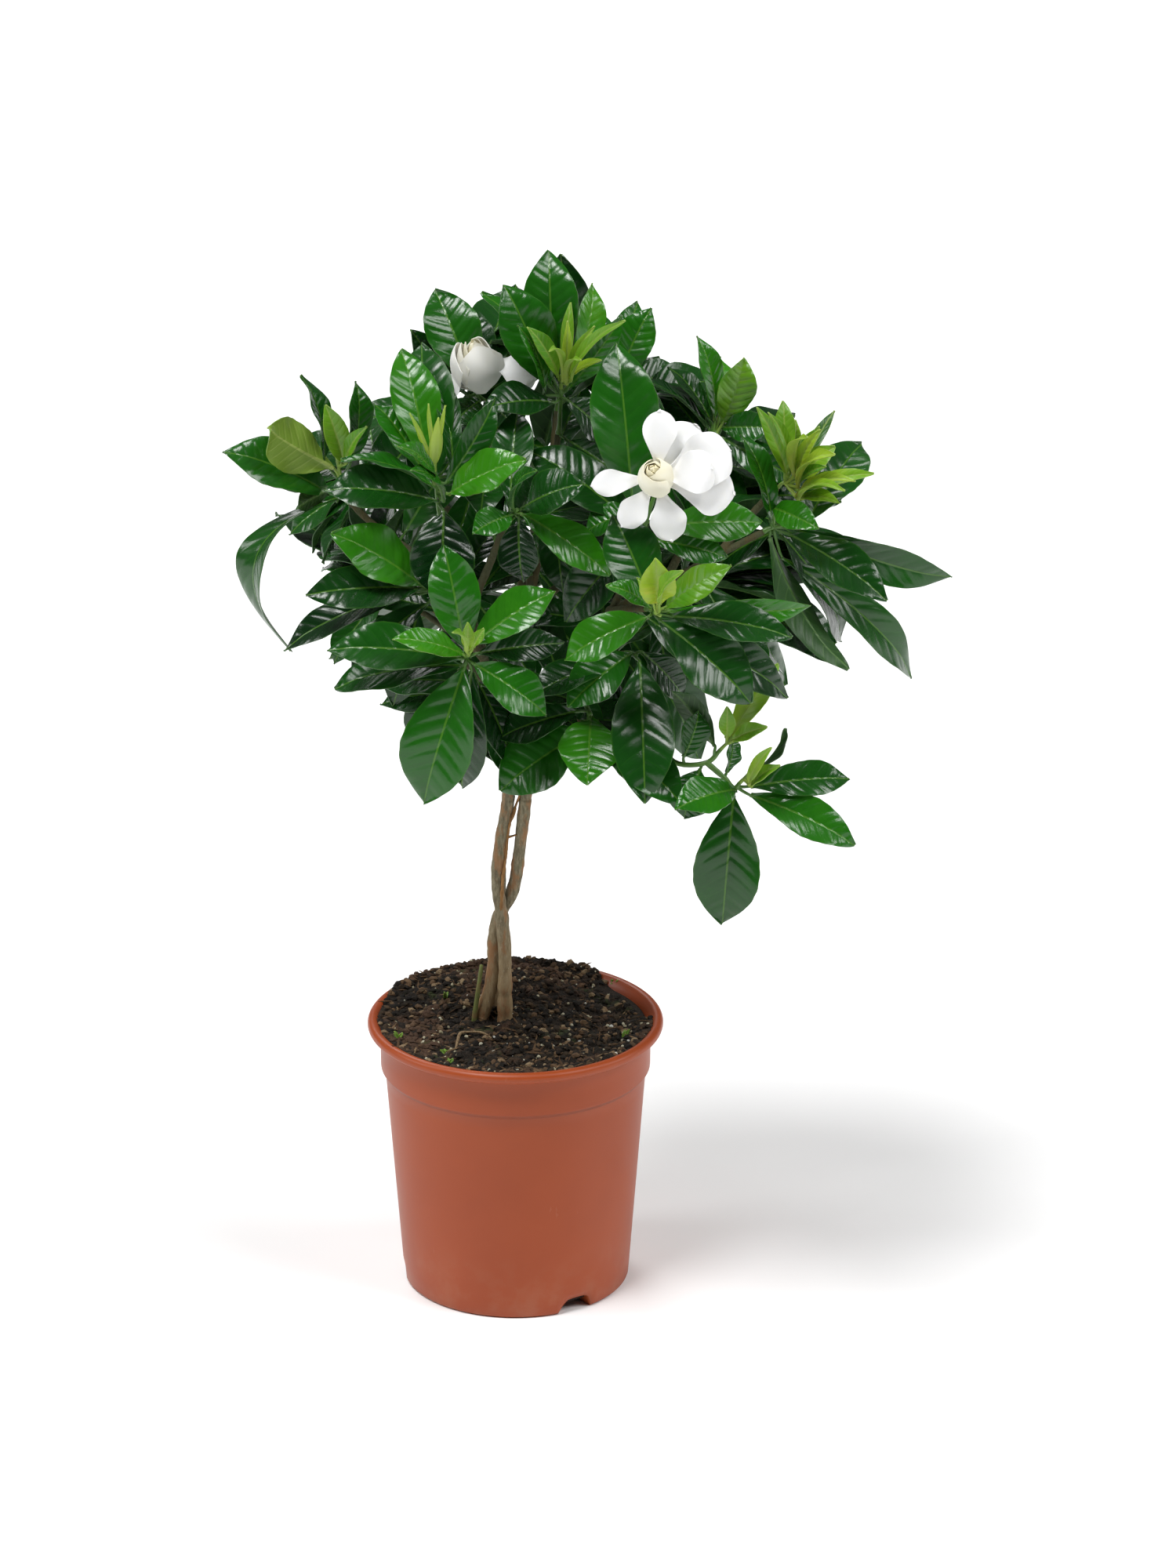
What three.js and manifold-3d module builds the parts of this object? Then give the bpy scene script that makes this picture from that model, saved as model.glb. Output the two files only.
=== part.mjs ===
// A potted gardenia: a clay-coloured nursery pot, its root ball, three braided stems and a leafy crown.
// Millimetres, +Z up. The origin is the centre of the pot's foot, and the plant's front faces -Y.

import * as THREE from 'three';
import { mergeVertices } from 'three/addons/utils/BufferGeometryUtils.js';
import Module from 'manifold-3d';

const wasm = await Module();
wasm.setup();

const V = THREE.Vector3;
const DEGREE = Math.PI / 180;

// Pot
const POT_HEIGHT = 160.2;
const RIM_RADIUS = 84.4;
const RIM_ROLL = 6.3;
const BAND_RADIUS = 77;
const BAND_FOOT = 131.5;
const STEP_RADIUS = 74.5;
const STEP_Z = 129;
const FOOT_RADIUS = 65.5;
const FOOT_Z = 12;
const WALL = 1.8;
const FLOOR_UNDERSIDE = 3;
const FLOOR_TOP = 4.8;
const PAD_RADIUS = 12;
const FOOT_RING_RADIUS = 55;
const POT_SIDES = 24;
const NOTCH_COUNT = 3;
const NOTCH_WIDTH = 20;
const NOTCH_HEIGHT = 9;
const NOTCH_TURN = 33;
const DRAIN_COUNT = 5;
const DRAIN_RADIUS = 5;
const DRAIN_RING = 36;

// Soil
const SOIL_LEVEL = 152;
const SOIL_CROWN = 3.5;
const SOIL_HEAP = 11;
const SOIL_RADIUS = 74.7;
const SOIL_RINGS = 6;
const SOIL_SIDES = POT_SIDES;
const SEAT_GAP = 0.3;

// Stems
const STRAND_RADIUS = 3.55;
const STRAND_SIDES = 7;
const LIMB_SIDES = 4;
const BACK_SHARE = 0.9;
const LEADER_SHARE = 0.93;
const LIMB_RADIUS = 2.5;
const STEM_FOOT_Z = 124;
const SIDE_STEM_RADIUS = 1.7;
const SIDE_STEM_TIP = 1.1;

// Foliage
const BLADE = 0.7;
const LEAF_GAP = 4.6;
const OWN_GAP = 2.6;
const SHOOT_RADIUS = 1.7;
const SHOOT_TIP_RADIUS = 1.15;
const PETIOLE = 0.85;
const TIP_REST = 5;
const YOUNG_STEM = 10;
const YOUNG_TIP_RADIUS = 0.9;
const LEAF_FOLD = 0.28;
const YOUNG_FOLD = 0.45;
const LEAF_ARCH = 0.08;
const ROOT_REST = 3;
const SEED = 20417;

// Foliage is laid out as it stands before an eye that looks down on the plant by EYE_TILT.
// A place is (across, up) in the upright plane through the rim's centre, with its depth y.
const EYE_TILT = 21.35 * DEGREE;
const EYE_DISTANCE = 4000;
const RIM_UP = 144.5;
const RIM_Z = 156.4;
const EYE_ACROSS = 41.4;
const EYE_UP = 280.4;
const UPWARD = new V(0, Math.sin(EYE_TILT), Math.cos(EYE_TILT));
const TOWARD = new V(0, -Math.cos(EYE_TILT), Math.sin(EYE_TILT));
const RIM_CENTRE = new V(0, 0, RIM_Z);
const EYE = onPlane(EYE_ACROSS, EYE_UP).addScaledVector(TOWARD, EYE_DISTANCE);

function onPlane(across, up) {
  return new V(across, 0, 0).add(RIM_CENTRE).addScaledVector(UPWARD, up - RIM_UP);
}

function seen(across, up, y) {
  const plane = onPlane(across, up);
  return EYE.clone().lerp(plane, (y - EYE.y) / (plane.y - EYE.y));
}

function asSeen(point) {
  const ray = point.clone().sub(EYE);
  const reach = -EYE_DISTANCE / ray.dot(TOWARD);
  const plane = EYE.clone().addScaledVector(ray, reach).sub(RIM_CENTRE);
  return [plane.x, plane.dot(UPWARD) + RIM_UP];
}

// Solids from bare triangles

function solidFrom(points, faces) {
  const geometry = new THREE.BufferGeometry();
  const places = points.flatMap((p) => [p.x, p.y, p.z]);
  geometry.setAttribute('position', new THREE.Float32BufferAttribute(places, 3));
  geometry.setIndex(faces.flat());
  return toSolid(geometry);
}

function toSolid(source) {
  let geometry = source.clone();
  geometry.deleteAttribute('normal');
  geometry.deleteAttribute('uv');
  geometry = mergeVertices(geometry, 1e-4);
  const vertProperties = new Float32Array(geometry.attributes.position.array);
  const triVerts = dropSlivers(geometry.index.array);
  return new wasm.Manifold(new wasm.Mesh({ numProp: 3, vertProperties, triVerts }));
}

function dropSlivers(index) {
  const kept = [];
  for (let i = 0; i < index.length; i += 3) {
    const [a, b, c] = [index[i], index[i + 1], index[i + 2]];
    if (a !== b && b !== c && c !== a) kept.push(a, b, c);
  }
  return new Uint32Array(kept);
}

function joined(solids) {
  return solids.reduce((whole, next) => whole.add(next));
}

function toGeometry(solid) {
  const mesh = solid.getMesh();
  const geometry = new THREE.BufferGeometry();
  geometry.setAttribute('position', new THREE.Float32BufferAttribute(mesh.vertProperties, mesh.numProp));
  geometry.setIndex(Array.from(mesh.triVerts));
  return geometry;
}

// A round rod through the given points, flat at both ends.
function rod(points, radii, sides) {
  const rings = [];
  let side = null;
  points.forEach((point, i) => {
    const before = points[Math.max(i - 1, 0)];
    const after = points[Math.min(i + 1, points.length - 1)];
    const along = after.clone().sub(before).normalize();
    if (side === null) side = new V(0.31, 0.87, 0.38).cross(along);
    side.addScaledVector(along, -side.dot(along)).normalize();
    const other = along.clone().cross(side);
    for (let k = 0; k < sides; k += 1) {
      const turn = 2 * Math.PI * k / sides;
      rings.push(point.clone().addScaledVector(side, radii[i] * Math.cos(turn))
        .addScaledVector(other, radii[i] * Math.sin(turn)));
    }
  });
  const faces = [];
  for (let i = 0; i + 1 < points.length; i += 1) {
    for (let k = 0; k < sides; k += 1) {
      const a = i * sides + k;
      const b = i * sides + (k + 1) % sides;
      faces.push([a, b, b + sides], [a, b + sides, a + sides]);
    }
  }
  const last = (points.length - 1) * sides;
  for (let k = 1; k + 1 < sides; k += 1) {
    faces.push([0, k + 1, k], [last, last + k, last + k + 1]);
  }
  return solidFrom(rings, faces);
}

function taper(from, to, count) {
  return Array.from({ length: count }, (_, i) => from + (to - from) * i / Math.max(count - 1, 1));
}

function smooth(points, count) {
  return new THREE.CatmullRomCurve3(points, false, 'centripetal').getPoints(count);
}

function ball(centre, radius, stretch, along, widthSegments = 10, heightSegments = 7) {
  const geometry = new THREE.SphereGeometry(radius, widthSegments, heightSegments);
  geometry.scale(1, stretch, 1);
  geometry.applyQuaternion(new THREE.Quaternion().setFromUnitVectors(new V(0, 1, 0), along));
  geometry.translate(centre.x, centre.y, centre.z);
  return toSolid(geometry);
}

// Leaves and petals

const LEAF_STATIONS = [0.28, 0.6, 0.87];
const SMALL_STATIONS = [0.4, 0.8];
const PETAL_STATIONS = [0.15, 0.55, 0.9];

function leafOutline(t) {
  return t * (1 - t) ** 0.72 / 0.3106 * (1 - 0.45 * t ** 8);
}

function petalOutline(t) {
  return 0.16 + 0.84 * Math.sin(Math.PI * Math.min(t, 1) ** 1.25) ** 0.6;
}

function makeBlade(base, tip, width, facing, roll, arch, fold) {
  const along = tip.clone().sub(base);
  const length = along.length();
  along.normalize();
  const normal = facing.clone().addScaledVector(along, -facing.dot(along)).normalize();
  normal.applyAxisAngle(along, roll * DEGREE);
  return { base, tip, width, length, normal, side: along.cross(normal), arch, fold };
}

function bladePoint(blade, t, s, outline) {
  const half = blade.width / 2 * outline(t);
  const rise = blade.arch * blade.length * 4 * t * (1 - t) + blade.fold * half * Math.abs(s);
  return blade.base.clone().lerp(blade.tip, t)
    .addScaledVector(blade.side, half * s)
    .addScaledVector(blade.normal, rise);
}

// A closed thin blade: a three-sided stalk from its root, then a folded strip up to a pointed tip.
function bladeSolid(blade, root, stations, outline) {
  const points = [
    root.clone().addScaledVector(blade.side, -PETIOLE),
    root.clone().addScaledVector(blade.side, PETIOLE),
    root.clone().addScaledVector(blade.normal, -PETIOLE * 1.5),
  ];
  stations.forEach((t) => {
    const top = [-1, 0, 1].map((s) => bladePoint(blade, t, s, outline));
    points.push(...top, ...top.map((point) => point.clone().addScaledVector(blade.normal, -BLADE)));
  });
  const apex = points.length;
  points.push(blade.tip.clone().addScaledVector(blade.normal, -BLADE / 2));
  const section = (i) => [0, 1, 2, 3, 4, 5].map((k) => 3 + 6 * i + k);
  const faces = stalkFaces(section(0));
  for (let i = 0; i + 1 < stations.length; i += 1) {
    const [L, C, R, l, c, r] = section(i);
    const [L2, C2, R2, l2, c2, r2] = section(i + 1);
    faces.push([L, C, L2], [C, C2, L2], [C, R, R2], [C, R2, C2]);
    faces.push([l, l2, c], [c, l2, c2], [c, r2, r], [c, c2, r2]);
    faces.push([L, L2, l2], [L, l2, l], [R, r, r2], [R, r2, R2]);
  }
  const [L, C, R, l, c, r] = section(stations.length - 1);
  faces.push([L, C, apex], [C, R, apex], [l, apex, c], [c, apex, r], [L, apex, l], [R, r, apex]);
  return solidFrom(points, faces);
}

function stalkFaces([L, C, R, l, c, r]) {
  return [
    [0, 2, 1], [0, 1, C], [0, C, L], [1, R, C], [0, L, l],
    [0, l, 2], [2, l, c], [2, c, r], [1, 2, r], [1, r, R],
  ];
}

const CLOUD_ROWS = 9;

// What has been placed so far, as clouds of points that later leaves keep clear of.
const placed = [];

function cloudOf(points, owner, reach) {
  const box = new THREE.Box3().setFromPoints(points).expandByScalar(LEAF_GAP + reach);
  return { points, owner, shoot: owner.replace(/^[a-z]+_/, ''), reach, box };
}

function rodCloud(points, radius, owner) {
  const line = [];
  for (let i = 0; i + 1 < points.length; i += 1) {
    const steps = Math.max(Math.ceil(points[i].distanceTo(points[i + 1]) / 4), 1);
    for (let k = 0; k < steps; k += 1) line.push(points[i].clone().lerp(points[i + 1], k / steps));
  }
  line.push(points[points.length - 1]);
  return cloudOf(line, owner, radius);
}

function bladeCloud(blade, owner, outline) {
  const points = [];
  for (let i = 1; i <= CLOUD_ROWS; i += 1) {
    for (let k = -2; k <= 2; k += 1) points.push(bladePoint(blade, i / CLOUD_ROWS - 0.02, k * 0.48, outline));
  }
  return cloudOf(points, owner, 0);
}

function clearance(cloud) {
  let least = Infinity;
  const box = new THREE.Box3().setFromPoints(cloud.points);
  for (const other of placed) {
    if (!other.box.intersectsBox(box)) continue;
    const own = other.owner === cloud.owner;
    const kin = other.shoot === cloud.shoot;
    if (own && other.reach > 0) continue;
    const skip = own ? 10 : 0;
    const wanted = kin ? OWN_GAP : LEAF_GAP;
    for (let i = skip; i < cloud.points.length; i += 1) {
      for (let k = other.reach > 0 ? 0 : skip; k < other.points.length; k += 1) {
        const gap = cloud.points[i].distanceTo(other.points[k]) - other.reach - wanted;
        if (gap < least) least = gap;
      }
    }
  }
  return least;
}

// Depths tried for a tip, in order, until its leaf crosses nothing.
const BASE_SHARE = 0.25;
const TIP_SHIFTS = [0, -7, 7, -14, 14, -22, 22, -31, 31, -41, 41];

function placeSeen(row, depth, shoot, owner, young) {
  const [a0, b0, a1, b1, width, dy = -8, roll = 0, arch = LEAF_ARCH] = row;
  const start = seen(a0, b0, depth);
  const root = nearestOn(shoot, start);
  let best = null;
  for (const shift of TIP_SHIFTS) {
    const tip = seen(a1, b1, depth + dy + shift);
    const out = seen(a0, b0, depth + shift * BASE_SHARE);
    const base = out.distanceTo(root) < 3 ? root.clone().add(tip.clone().sub(root).setLength(4)) : out;
    const facing = TOWARD.clone().multiplyScalar(0.85).add(new V(0, 0, 0.5));
    const blade = makeBlade(base, tip, width, facing, roll, arch, young ? YOUNG_FOLD : LEAF_FOLD);
    const cloud = bladeCloud(blade, owner, leafOutline);
    const gap = clearance(cloud);
    if (best === null || gap > best.gap) best = { blade, cloud, gap, root };
    if (gap > 0) break;
  }
  placed.push(best.cloud);
  return best;
}

// The nearest place for a root, clear of the shoot's seat and of its tip.
function nearestOn(path, point) {
  const span = path.slice(1);
  const last = span.length - 1;
  const rest = Math.min(TIP_REST, span[last].distanceTo(span[last - 1]) * 0.7);
  span[last] = span[last].clone().add(span[last - 1].clone().sub(span[last]).setLength(rest));
  let best = null;
  for (let i = 0; i < last; i += 1) {
    const near = new THREE.Line3(span[i], span[i + 1]).closestPointToPoint(point, true, new V());
    if (best === null || near.distanceTo(point) < best.distanceTo(point)) best = near;
  }
  return best;
}

// Wood: each strand of the braid, and the limbs that fork off it. A limb's first point is on its parent.
// Limbs are (x, y, height above the rim's centre).

const STRANDS = {
  left: [[-6, 148, 6], [-6, 160, 5], [-6, 176, 4], [-6.3, 190, 3.5], [-7.4, 200, 3], [-8.2, 208, 2.5],
    [-9.6, 217, 4], [-10.4, 227, 5.5], [-9.2, 240, 6], [-8, 250, 6], [-6, 261, 6], [-4, 272, 6]],
  right: [[-19.5, 148, 8], [-16, 158, 8], [-13.4, 168, 8.5], [-12.4, 182, 9], [-12.3, 194, 9.5],
    [-10.6, 201, 10], [-8.2, 208, 10.3], [-4, 214, 9], [-0.4, 224, 7.5], [1.4, 236, 6.5], [3.2, 250, 6],
    [4.5, 261, 6], [5.6, 272, 6]],
  back: [[-12.5, 148, 19], [-11, 164, 18], [-9.5, 182, 17], [-8.6, 196, 17.5], [-8.2, 208, 18],
    [-8.6, 222, 16.5], [-8.6, 236, 15], [-7.4, 250, 14.5], [-5.4, 262, 14.5], [-3.4, 274, 14.5]],
};

const LIMBS = [
  ['left', 'left_bud', [[-3.9, 6, 133], [-3, 5, 162], [-10, -2, 192], [-17, -14, 228], [-23, -24, 262],
    [-33, -38, 296], [-39, -51, 322]]],
  ['left', 'front_low_left', [[-10, -2, 192], [-14, -27, 214], [-21, -58, 235], [-26, -80, 248]]],
  ['left', 'left_mid', [[-17, -14, 228], [-30, -36, 256], [-41, -57, 276]]],
  ['left', 'far_left', [[-23, -24, 262], [-50, -18, 286], [-76, -13, 304], [-90, -11, 317]]],
  ['left', 'centre_mid', [[-23, -24, 262], [-12, -42, 294], [-4, -58, 322]]],
  ['left', 'left_inner', [[-17, -14, 228], [-38, 2, 244], [-62, 14, 260]]],
  ['right', 'bloom_open', [[5.6, 6, 133], [11, 4, 162], [22, -3, 192], [38, -15, 226], [54, -30, 260],
    [64, -44, 288], [70, -55, 310]]],
  ['right', 'dangling', [[22, -3, 192], [44, -38, 192], [66, -68, 197], [78, -84, 200]]],
  ['right', 'centre_hang', [[22, -3, 192], [29, -30, 206], [37, -52, 216]]],
  ['right', 'centre_low', [[38, -15, 226], [52, -34, 236], [62, -48, 242]]],
  ['right', 'front_low_right', [[54, -30, 260], [64, -58, 272], [73, -86, 282]]],
  ['right', 'right_low', [[54, -30, 260], [84, -28, 276], [114, -25, 292], [138, -22, 304]]],
  ['right', 'right_new', [[114, -25, 292], [134, -14, 314], [146, -12, 326]]],
  ['right', 'right_back', [[84, -28, 276], [98, 0, 298], [109, 30, 322]]],
  ['right', 'right_inner', [[38, -15, 226], [66, 4, 242], [92, 16, 256]]],
  ['back', 'top', [[-3.4, 14.5, 132], [-2, 16, 162], [2, 24, 200], [8, 30, 240], [15, 26, 280], [21, 16, 320],
    [25, 5, 352]]],
  ['back', 'bloom_half', [[8, 30, 240], [-2, 30, 280], [-13, 24, 328], [-20, 16, 368]]],
  ['back', 'back_left_low', [[2, 24, 200], [-26, 34, 218], [-54, 44, 234]]],
  ['back', 'back_left', [[-2, 30, 280], [-34, 44, 292], [-66, 56, 306]]],
  ['back', 'back_left_high', [[-2, 30, 280], [-20, 50, 314], [-34, 60, 344]]],
  ['back', 'back_mid_low', [[2, 24, 200], [2, 48, 218], [2, 70, 232]]],
  ['back', 'back_mid', [[8, 30, 240], [10, 60, 266], [12, 86, 288]]],
  ['back', 'back_high', [[15, 26, 280], [20, 44, 314], [24, 56, 348]]],
  ['back', 'back_right_low', [[2, 24, 200], [34, 42, 220], [62, 62, 238]]],
  ['back', 'back_right', [[8, 30, 240], [46, 50, 262], [84, 68, 280]]],
  ['back', 'top_right', [[15, 26, 280], [36, 36, 316], [52, 42, 352]]],
];

const WOOD_LOOKS = { color: 0x7d735a, roughness: 0.85, metalness: 0 };

function strandPath(name) {
  const places = STRANDS[name].map(([a, b, y]) => seen(a, b, y));
  const foot = places[0].clone().addScaledVector(places[0].clone().sub(places[1]).normalize(), 12);
  return [foot.setZ(STEM_FOOT_Z), ...smooth(places, places.length)];
}

function aboveRim([x, y, height]) {
  return new V(x, y, RIM_Z + height);
}

function limbPath(points) {
  return points.map(aboveRim);
}

// Where each shoot sits: the bends of the limb that carries it.
const seats = {};

function woodSolid(name) {
  const path = strandPath(name);
  const radius = name === 'back' ? STRAND_RADIUS * BACK_SHARE : STRAND_RADIUS;
  const parts = [rod(path, taper(radius, radius * 0.94, path.length), STRAND_SIDES)];
  placed.push(rodCloud(path, radius, `wood_${name}`));
  LIMBS.filter(([wood]) => wood === name).forEach(([, shoot, points], i) => {
    const bends = limbPath(points);
    const foot = i === 0 ? radius * LEADER_SHARE : LIMB_RADIUS;
    parts.push(rod(bends, taper(foot, SHOOT_RADIUS, bends.length), LIMB_SIDES));
    placed.push(rodCloud(bends, foot, `wood_${name}`));
    seats[shoot] = bends;
  });
  return joined(parts);
}

// Shoots and their seen leaves. A leaf is [across, up] of its base, then of its tip, its width,
// how far its tip stands behind its base, its roll and its arch.

const SHOOTS = {
  far_left: {
    depth: -12,
    end: [-100, 457],
    leaves: [
      [-104, 461, -142, 483, 30, -26, 160], [-109, 465, -121, 514, 21, 12, 62],
      [-94, 464, -90, 510, 18, 12, 48], [-106, 446, -166, 471, 30, -12, 5],
      [-104, 450, -125, 438, 12, -16, 140], [-101, 444, -131, 357, 30, -20, 52, 0.4],
    ],
    young: [[-98, 463, -108, 496, 14, -12], [-97, 463, -86, 484, 9, -4]],
  },
  left_mid: {
    depth: -72,
    end: [-50, 393],
    leaves: [
      [-54, 394, -104, 424, 31, -12, 0], [-54, 389, -92, 393, 22, 14, 10], [-54, 392, -119, 389, 26, -24, -8],
      [-58, 391, -133, 358, 20, 6, 10],
    ],
  },
  left_bud: {
    depth: -62,
    end: [-46, 459],
    leaves: [
      [-50, 462, -65, 529, 27, 8, 8], [-36, 457, -45, 516, 15, 16, 30], [-53, 458, -80, 498, 20, 8, 20],
      [-46, 452, -65, 474, 15, -18, 0], [-44, 442, -109, 449, 29, -10, 5], [-46, 450, -99, 467, 20, 10, 48],
      [-41, 442, -58, 461, 13, -28, 0], [-38, 446, 5, 466, 25, -12, 0], [-40, 452, -11, 500, 17, 12, 35],
      [-41, 436, -42, 386, 36, -14, 0],
    ],
  },
  front_low_left: {
    depth: -100,
    end: [-27, 354],
    leaves: [
      [-31, 352, -107, 358, 28, -6, 0], [-29, 354, -69, 364, 16, -24, 0], [-29, 357, -41, 417, 28, 10, 0],
      [-24, 360, 22, 391, 25, 4, 0], [-22, 355, 28, 361, 18, 14, 15], [-30, 348, -104, 336, 25, 12, 10],
      [-29, 347, -53, 269, 40, -12, 0], [-25, 346, -31, 277, 26, 18, 0], [-24, 349, 18, 320, 26, -8, 0],
    ],
    young: [[-27, 357, -27, 372, 7, -8], [-26, 357, -18, 369, 6, -10], [-28, 357, -35, 368, 6, -10]],
  },
  centre_mid: {
    depth: -72,
    end: [1, 437],
    leaves: [
      [4, 438, 38, 452, 27, -16, 0], [3, 435, 54, 400, 23, -14, 0], [2, 432, 4, 396, 24, -10, 20],
      [-2, 439, 10, 460, 14, -22, 0], [-2, 434, -24, 424, 18, -20, 0],
    ],
  },
  centre_hang: {
    depth: -72,
    end: [43, 320],
    leaves: [
      [43, 318, 41, 281, 34, -38, 0], [41, 311, -9, 277, 37, -10, 0], [48, 310, 95, 270, 29, -12, 0],
      [36, 322, -10, 307, 23, 6, 0],
    ],
  },
  centre_low: {
    depth: -62,
    end: [69, 354],
    leaves: [[66, 355, 30, 325, 27, -22, 0], [71, 350, 74, 270, 35, -16, 0], [72, 356, 96, 330, 20, 12, 0]],
  },
  front_low_right: {
    depth: -105,
    end: [80, 378],
    leaves: [
      [82, 374, 135, 327, 35, -14, 0], [88, 376, 158, 365, 23, -6, 0], [86, 370, 157, 330, 26, 20, 0],
      [85, 381, 122, 405, 18, -20, 15], [86, 379, 169, 381, 15, 14, 40], [78, 382, 56, 434, 31, 12, 0],
      [76, 376, 28, 352, 25, -8, 0], [77, 381, 53, 394, 13, -24, 0],
    ],
    young: [[81, 383, 80, 408, 20, -18], [82, 383, 94, 402, 10, -6], [79, 383, 70, 398, 7, -8]],
  },
  dangling: {
    depth: -92,
    bends: [[93, 292], [110, 293]],
    end: [117, 300],
    fork: [[109, 292.7], [119, 284], [125, 278], [128, 281]],
    leaves: [
      [114, 302, 90, 334, 15, 6, 140], [96, 296, 105, 322, 18, 16, 40], [107, 290, 96, 261, 26, -8, 0],
      [126, 277, 92, 267, 24, -14, 0], [123, 276, 118, 200, 37, -8, 0], [134, 274, 194, 246, 24, -10, 0],
      [134, 279, 191, 284, 21, 12, 8], [133, 284, 155, 311, 16, 16, 110], [121, 284, 124, 308, 14, 14, 60],
    ],
    young: [[120, 304, 121, 324, 9, -8], [121, 303, 143, 313, 10, -14], [122, 306, 150, 349, 15, 4]],
    youngFork: [[133, 280, 145, 301, 7, -6], [134, 279, 150, 291, 8, -12]],
  },
  right_low: {
    depth: -22,
    end: [152, 428],
    leaves: [
      [156, 423, 212, 386, 26, -30, 0], [160, 426, 249, 397, 23, 6, 48], [145, 421, 188, 345, 24, -14, 150],
      [152, 410, 229, 341, 24, 34, 0, 0.1], [147, 424, 113, 402, 22, 12, 0], [166, 430, 198, 476, 30, 50, 0],
      [146, 430, 130, 480, 19, 14, 40], [147, 438, 172, 427, 17, -34, 20],
    ],
  },
  right_back: {
    depth: 40,
    end: [114, 482],
    leaves: [
      [110, 484, 72, 512, 15, -6, 50], [112, 486, 88, 519, 16, 10, 35], [114, 488, 105, 536, 17, 2, 35],
      [116, 488, 118, 524, 18, 18, 45], [118, 486, 131, 523, 22, -2, 30], [118, 484, 146, 484, 18, -14, 25],
      [118, 478, 163, 453, 19, -24, 25],
    ],
  },
  bloom_open: {
    depth: -70,
    bends: [[75, 432]],
    end: [80, 447],
    leaves: [
      [70, 436, 39, 424, 21, -16, 15], [68, 420, 28, 373, 28, -2, 0], [67, 439, 58, 532, 38, 28, 0],
      [82, 428, 141, 430, 23, 12, 15], [78, 420, 121, 410, 18, 0, 8],
    ],
  },
  bloom_half: {
    depth: 12,
    end: [-22, 504],
    leaves: [
      [-20, 499, -37, 484, 20, -26, 0], [-26, 502, -64, 516, 15, -4, 45], [-25, 503, -46, 563, 31, 24, 0],
      [-18, 500, 0, 484, 20, -16, 0],
    ],
  },
  top: {
    depth: -8,
    end: [26, 506],
    leaves: [
      [22, 506, -18, 562, 21, 14, 35], [19, 508, -6, 565, 31, 6, 0], [21, 513, 19, 585, 31, 20, 0],
      [33, 511, 45, 566, 18, 24, 35], [22, 498, -18, 495, 24, -16, 10], [17, 502, 3, 542, 15, -8, 35],
      [30, 506, 61, 547, 15, -8, 35], [29, 500, 52, 478, 24, 14, 0],
    ],
    young: [
      [27, 511, 8, 541, 11, -18], [28, 512, 31, 555, 7, 4], [29, 511, 48, 523, 6, -14],
      [30, 512, 44, 541, 6, -6], [31, 510, 60, 545, 8, -16],
    ],
  },
  top_right: {
    depth: 42,
    end: [55, 506],
    leaves: [
      [58, 510, 77, 552, 24, 4, 0], [54, 510, 70, 556, 18, 26, 10], [59, 508, 99, 513, 21, 6, 0],
      [53, 508, 44, 552, 20, 22, 0],
    ],
  },
};

const RIGHT_DEPTH = -12;
const YOUNG_RIGHT = [
  [155, 456, 139, 495, 10, -4], [154, 462, 153, 499, 12, 8], [157, 458, 164, 479, 10, -14],
  [160, 453, 182, 473, 14, -8], [161, 456, 182, 494, 7, 14], [162, 447, 190, 455, 10, -18],
  [162, 448, 204, 458, 9, -8], [156, 462, 146, 492, 7, -18], [161, 458, 173, 482, 8, -10],
  [162, 443, 184, 442, 9, -22], [160, 450, 176, 462, 8, -24],
];

// Back and inner shoots carry whorls of leaves by rule; their tips stay inside the crown's outline.

const RULED = {
  left_inner: [-76, 14, 272],
  right_inner: [108, 18, 264],
  back_left_low: [-70, 48, 242],
  back_left: [-82, 60, 314],
  back_left_high: [-40, 62, 360],
  back_mid_low: [2, 84, 240],
  back_mid: [13, 100, 302],
  back_high: [26, 60, 364],
  back_right_low: [76, 72, 246],
  back_right: [102, 76, 290],
};

const CROWN = [
  [-118, 400], [-122, 448], [-98, 488], [-70, 500], [-60, 526], [-44, 552], [-4, 556], [20, 574], [44, 556],
  [72, 546], [84, 512], [106, 526], [132, 512], [146, 482], [190, 470], [198, 450], [172, 428], [204, 396],
  [180, 368], [130, 352], [96, 318], [76, 290], [-8, 290], [-44, 300], [-88, 346],
];

function insideCrown(point) {
  const [a, b] = asSeen(point);
  let inside = false;
  for (let i = 0; i < CROWN.length; i += 1) {
    const [a0, b0] = CROWN[i];
    const [a1, b1] = CROWN[(i + 1) % CROWN.length];
    if ((b0 > b) !== (b1 > b) && a < a0 + (a1 - a0) * (b - b0) / (b1 - b0)) inside = !inside;
  }
  return inside;
}

let state = SEED;

function random() {
  state = state * 16807 % 2147483647;
  return state / 2147483647;
}

const WHORLS = 3;
const WHORL_LEAVES = [3, 3, 1];
const TRIES = 7;
const SHORTEST_LEAF = 54;
const LENGTH_SPREAD = 24;

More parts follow.
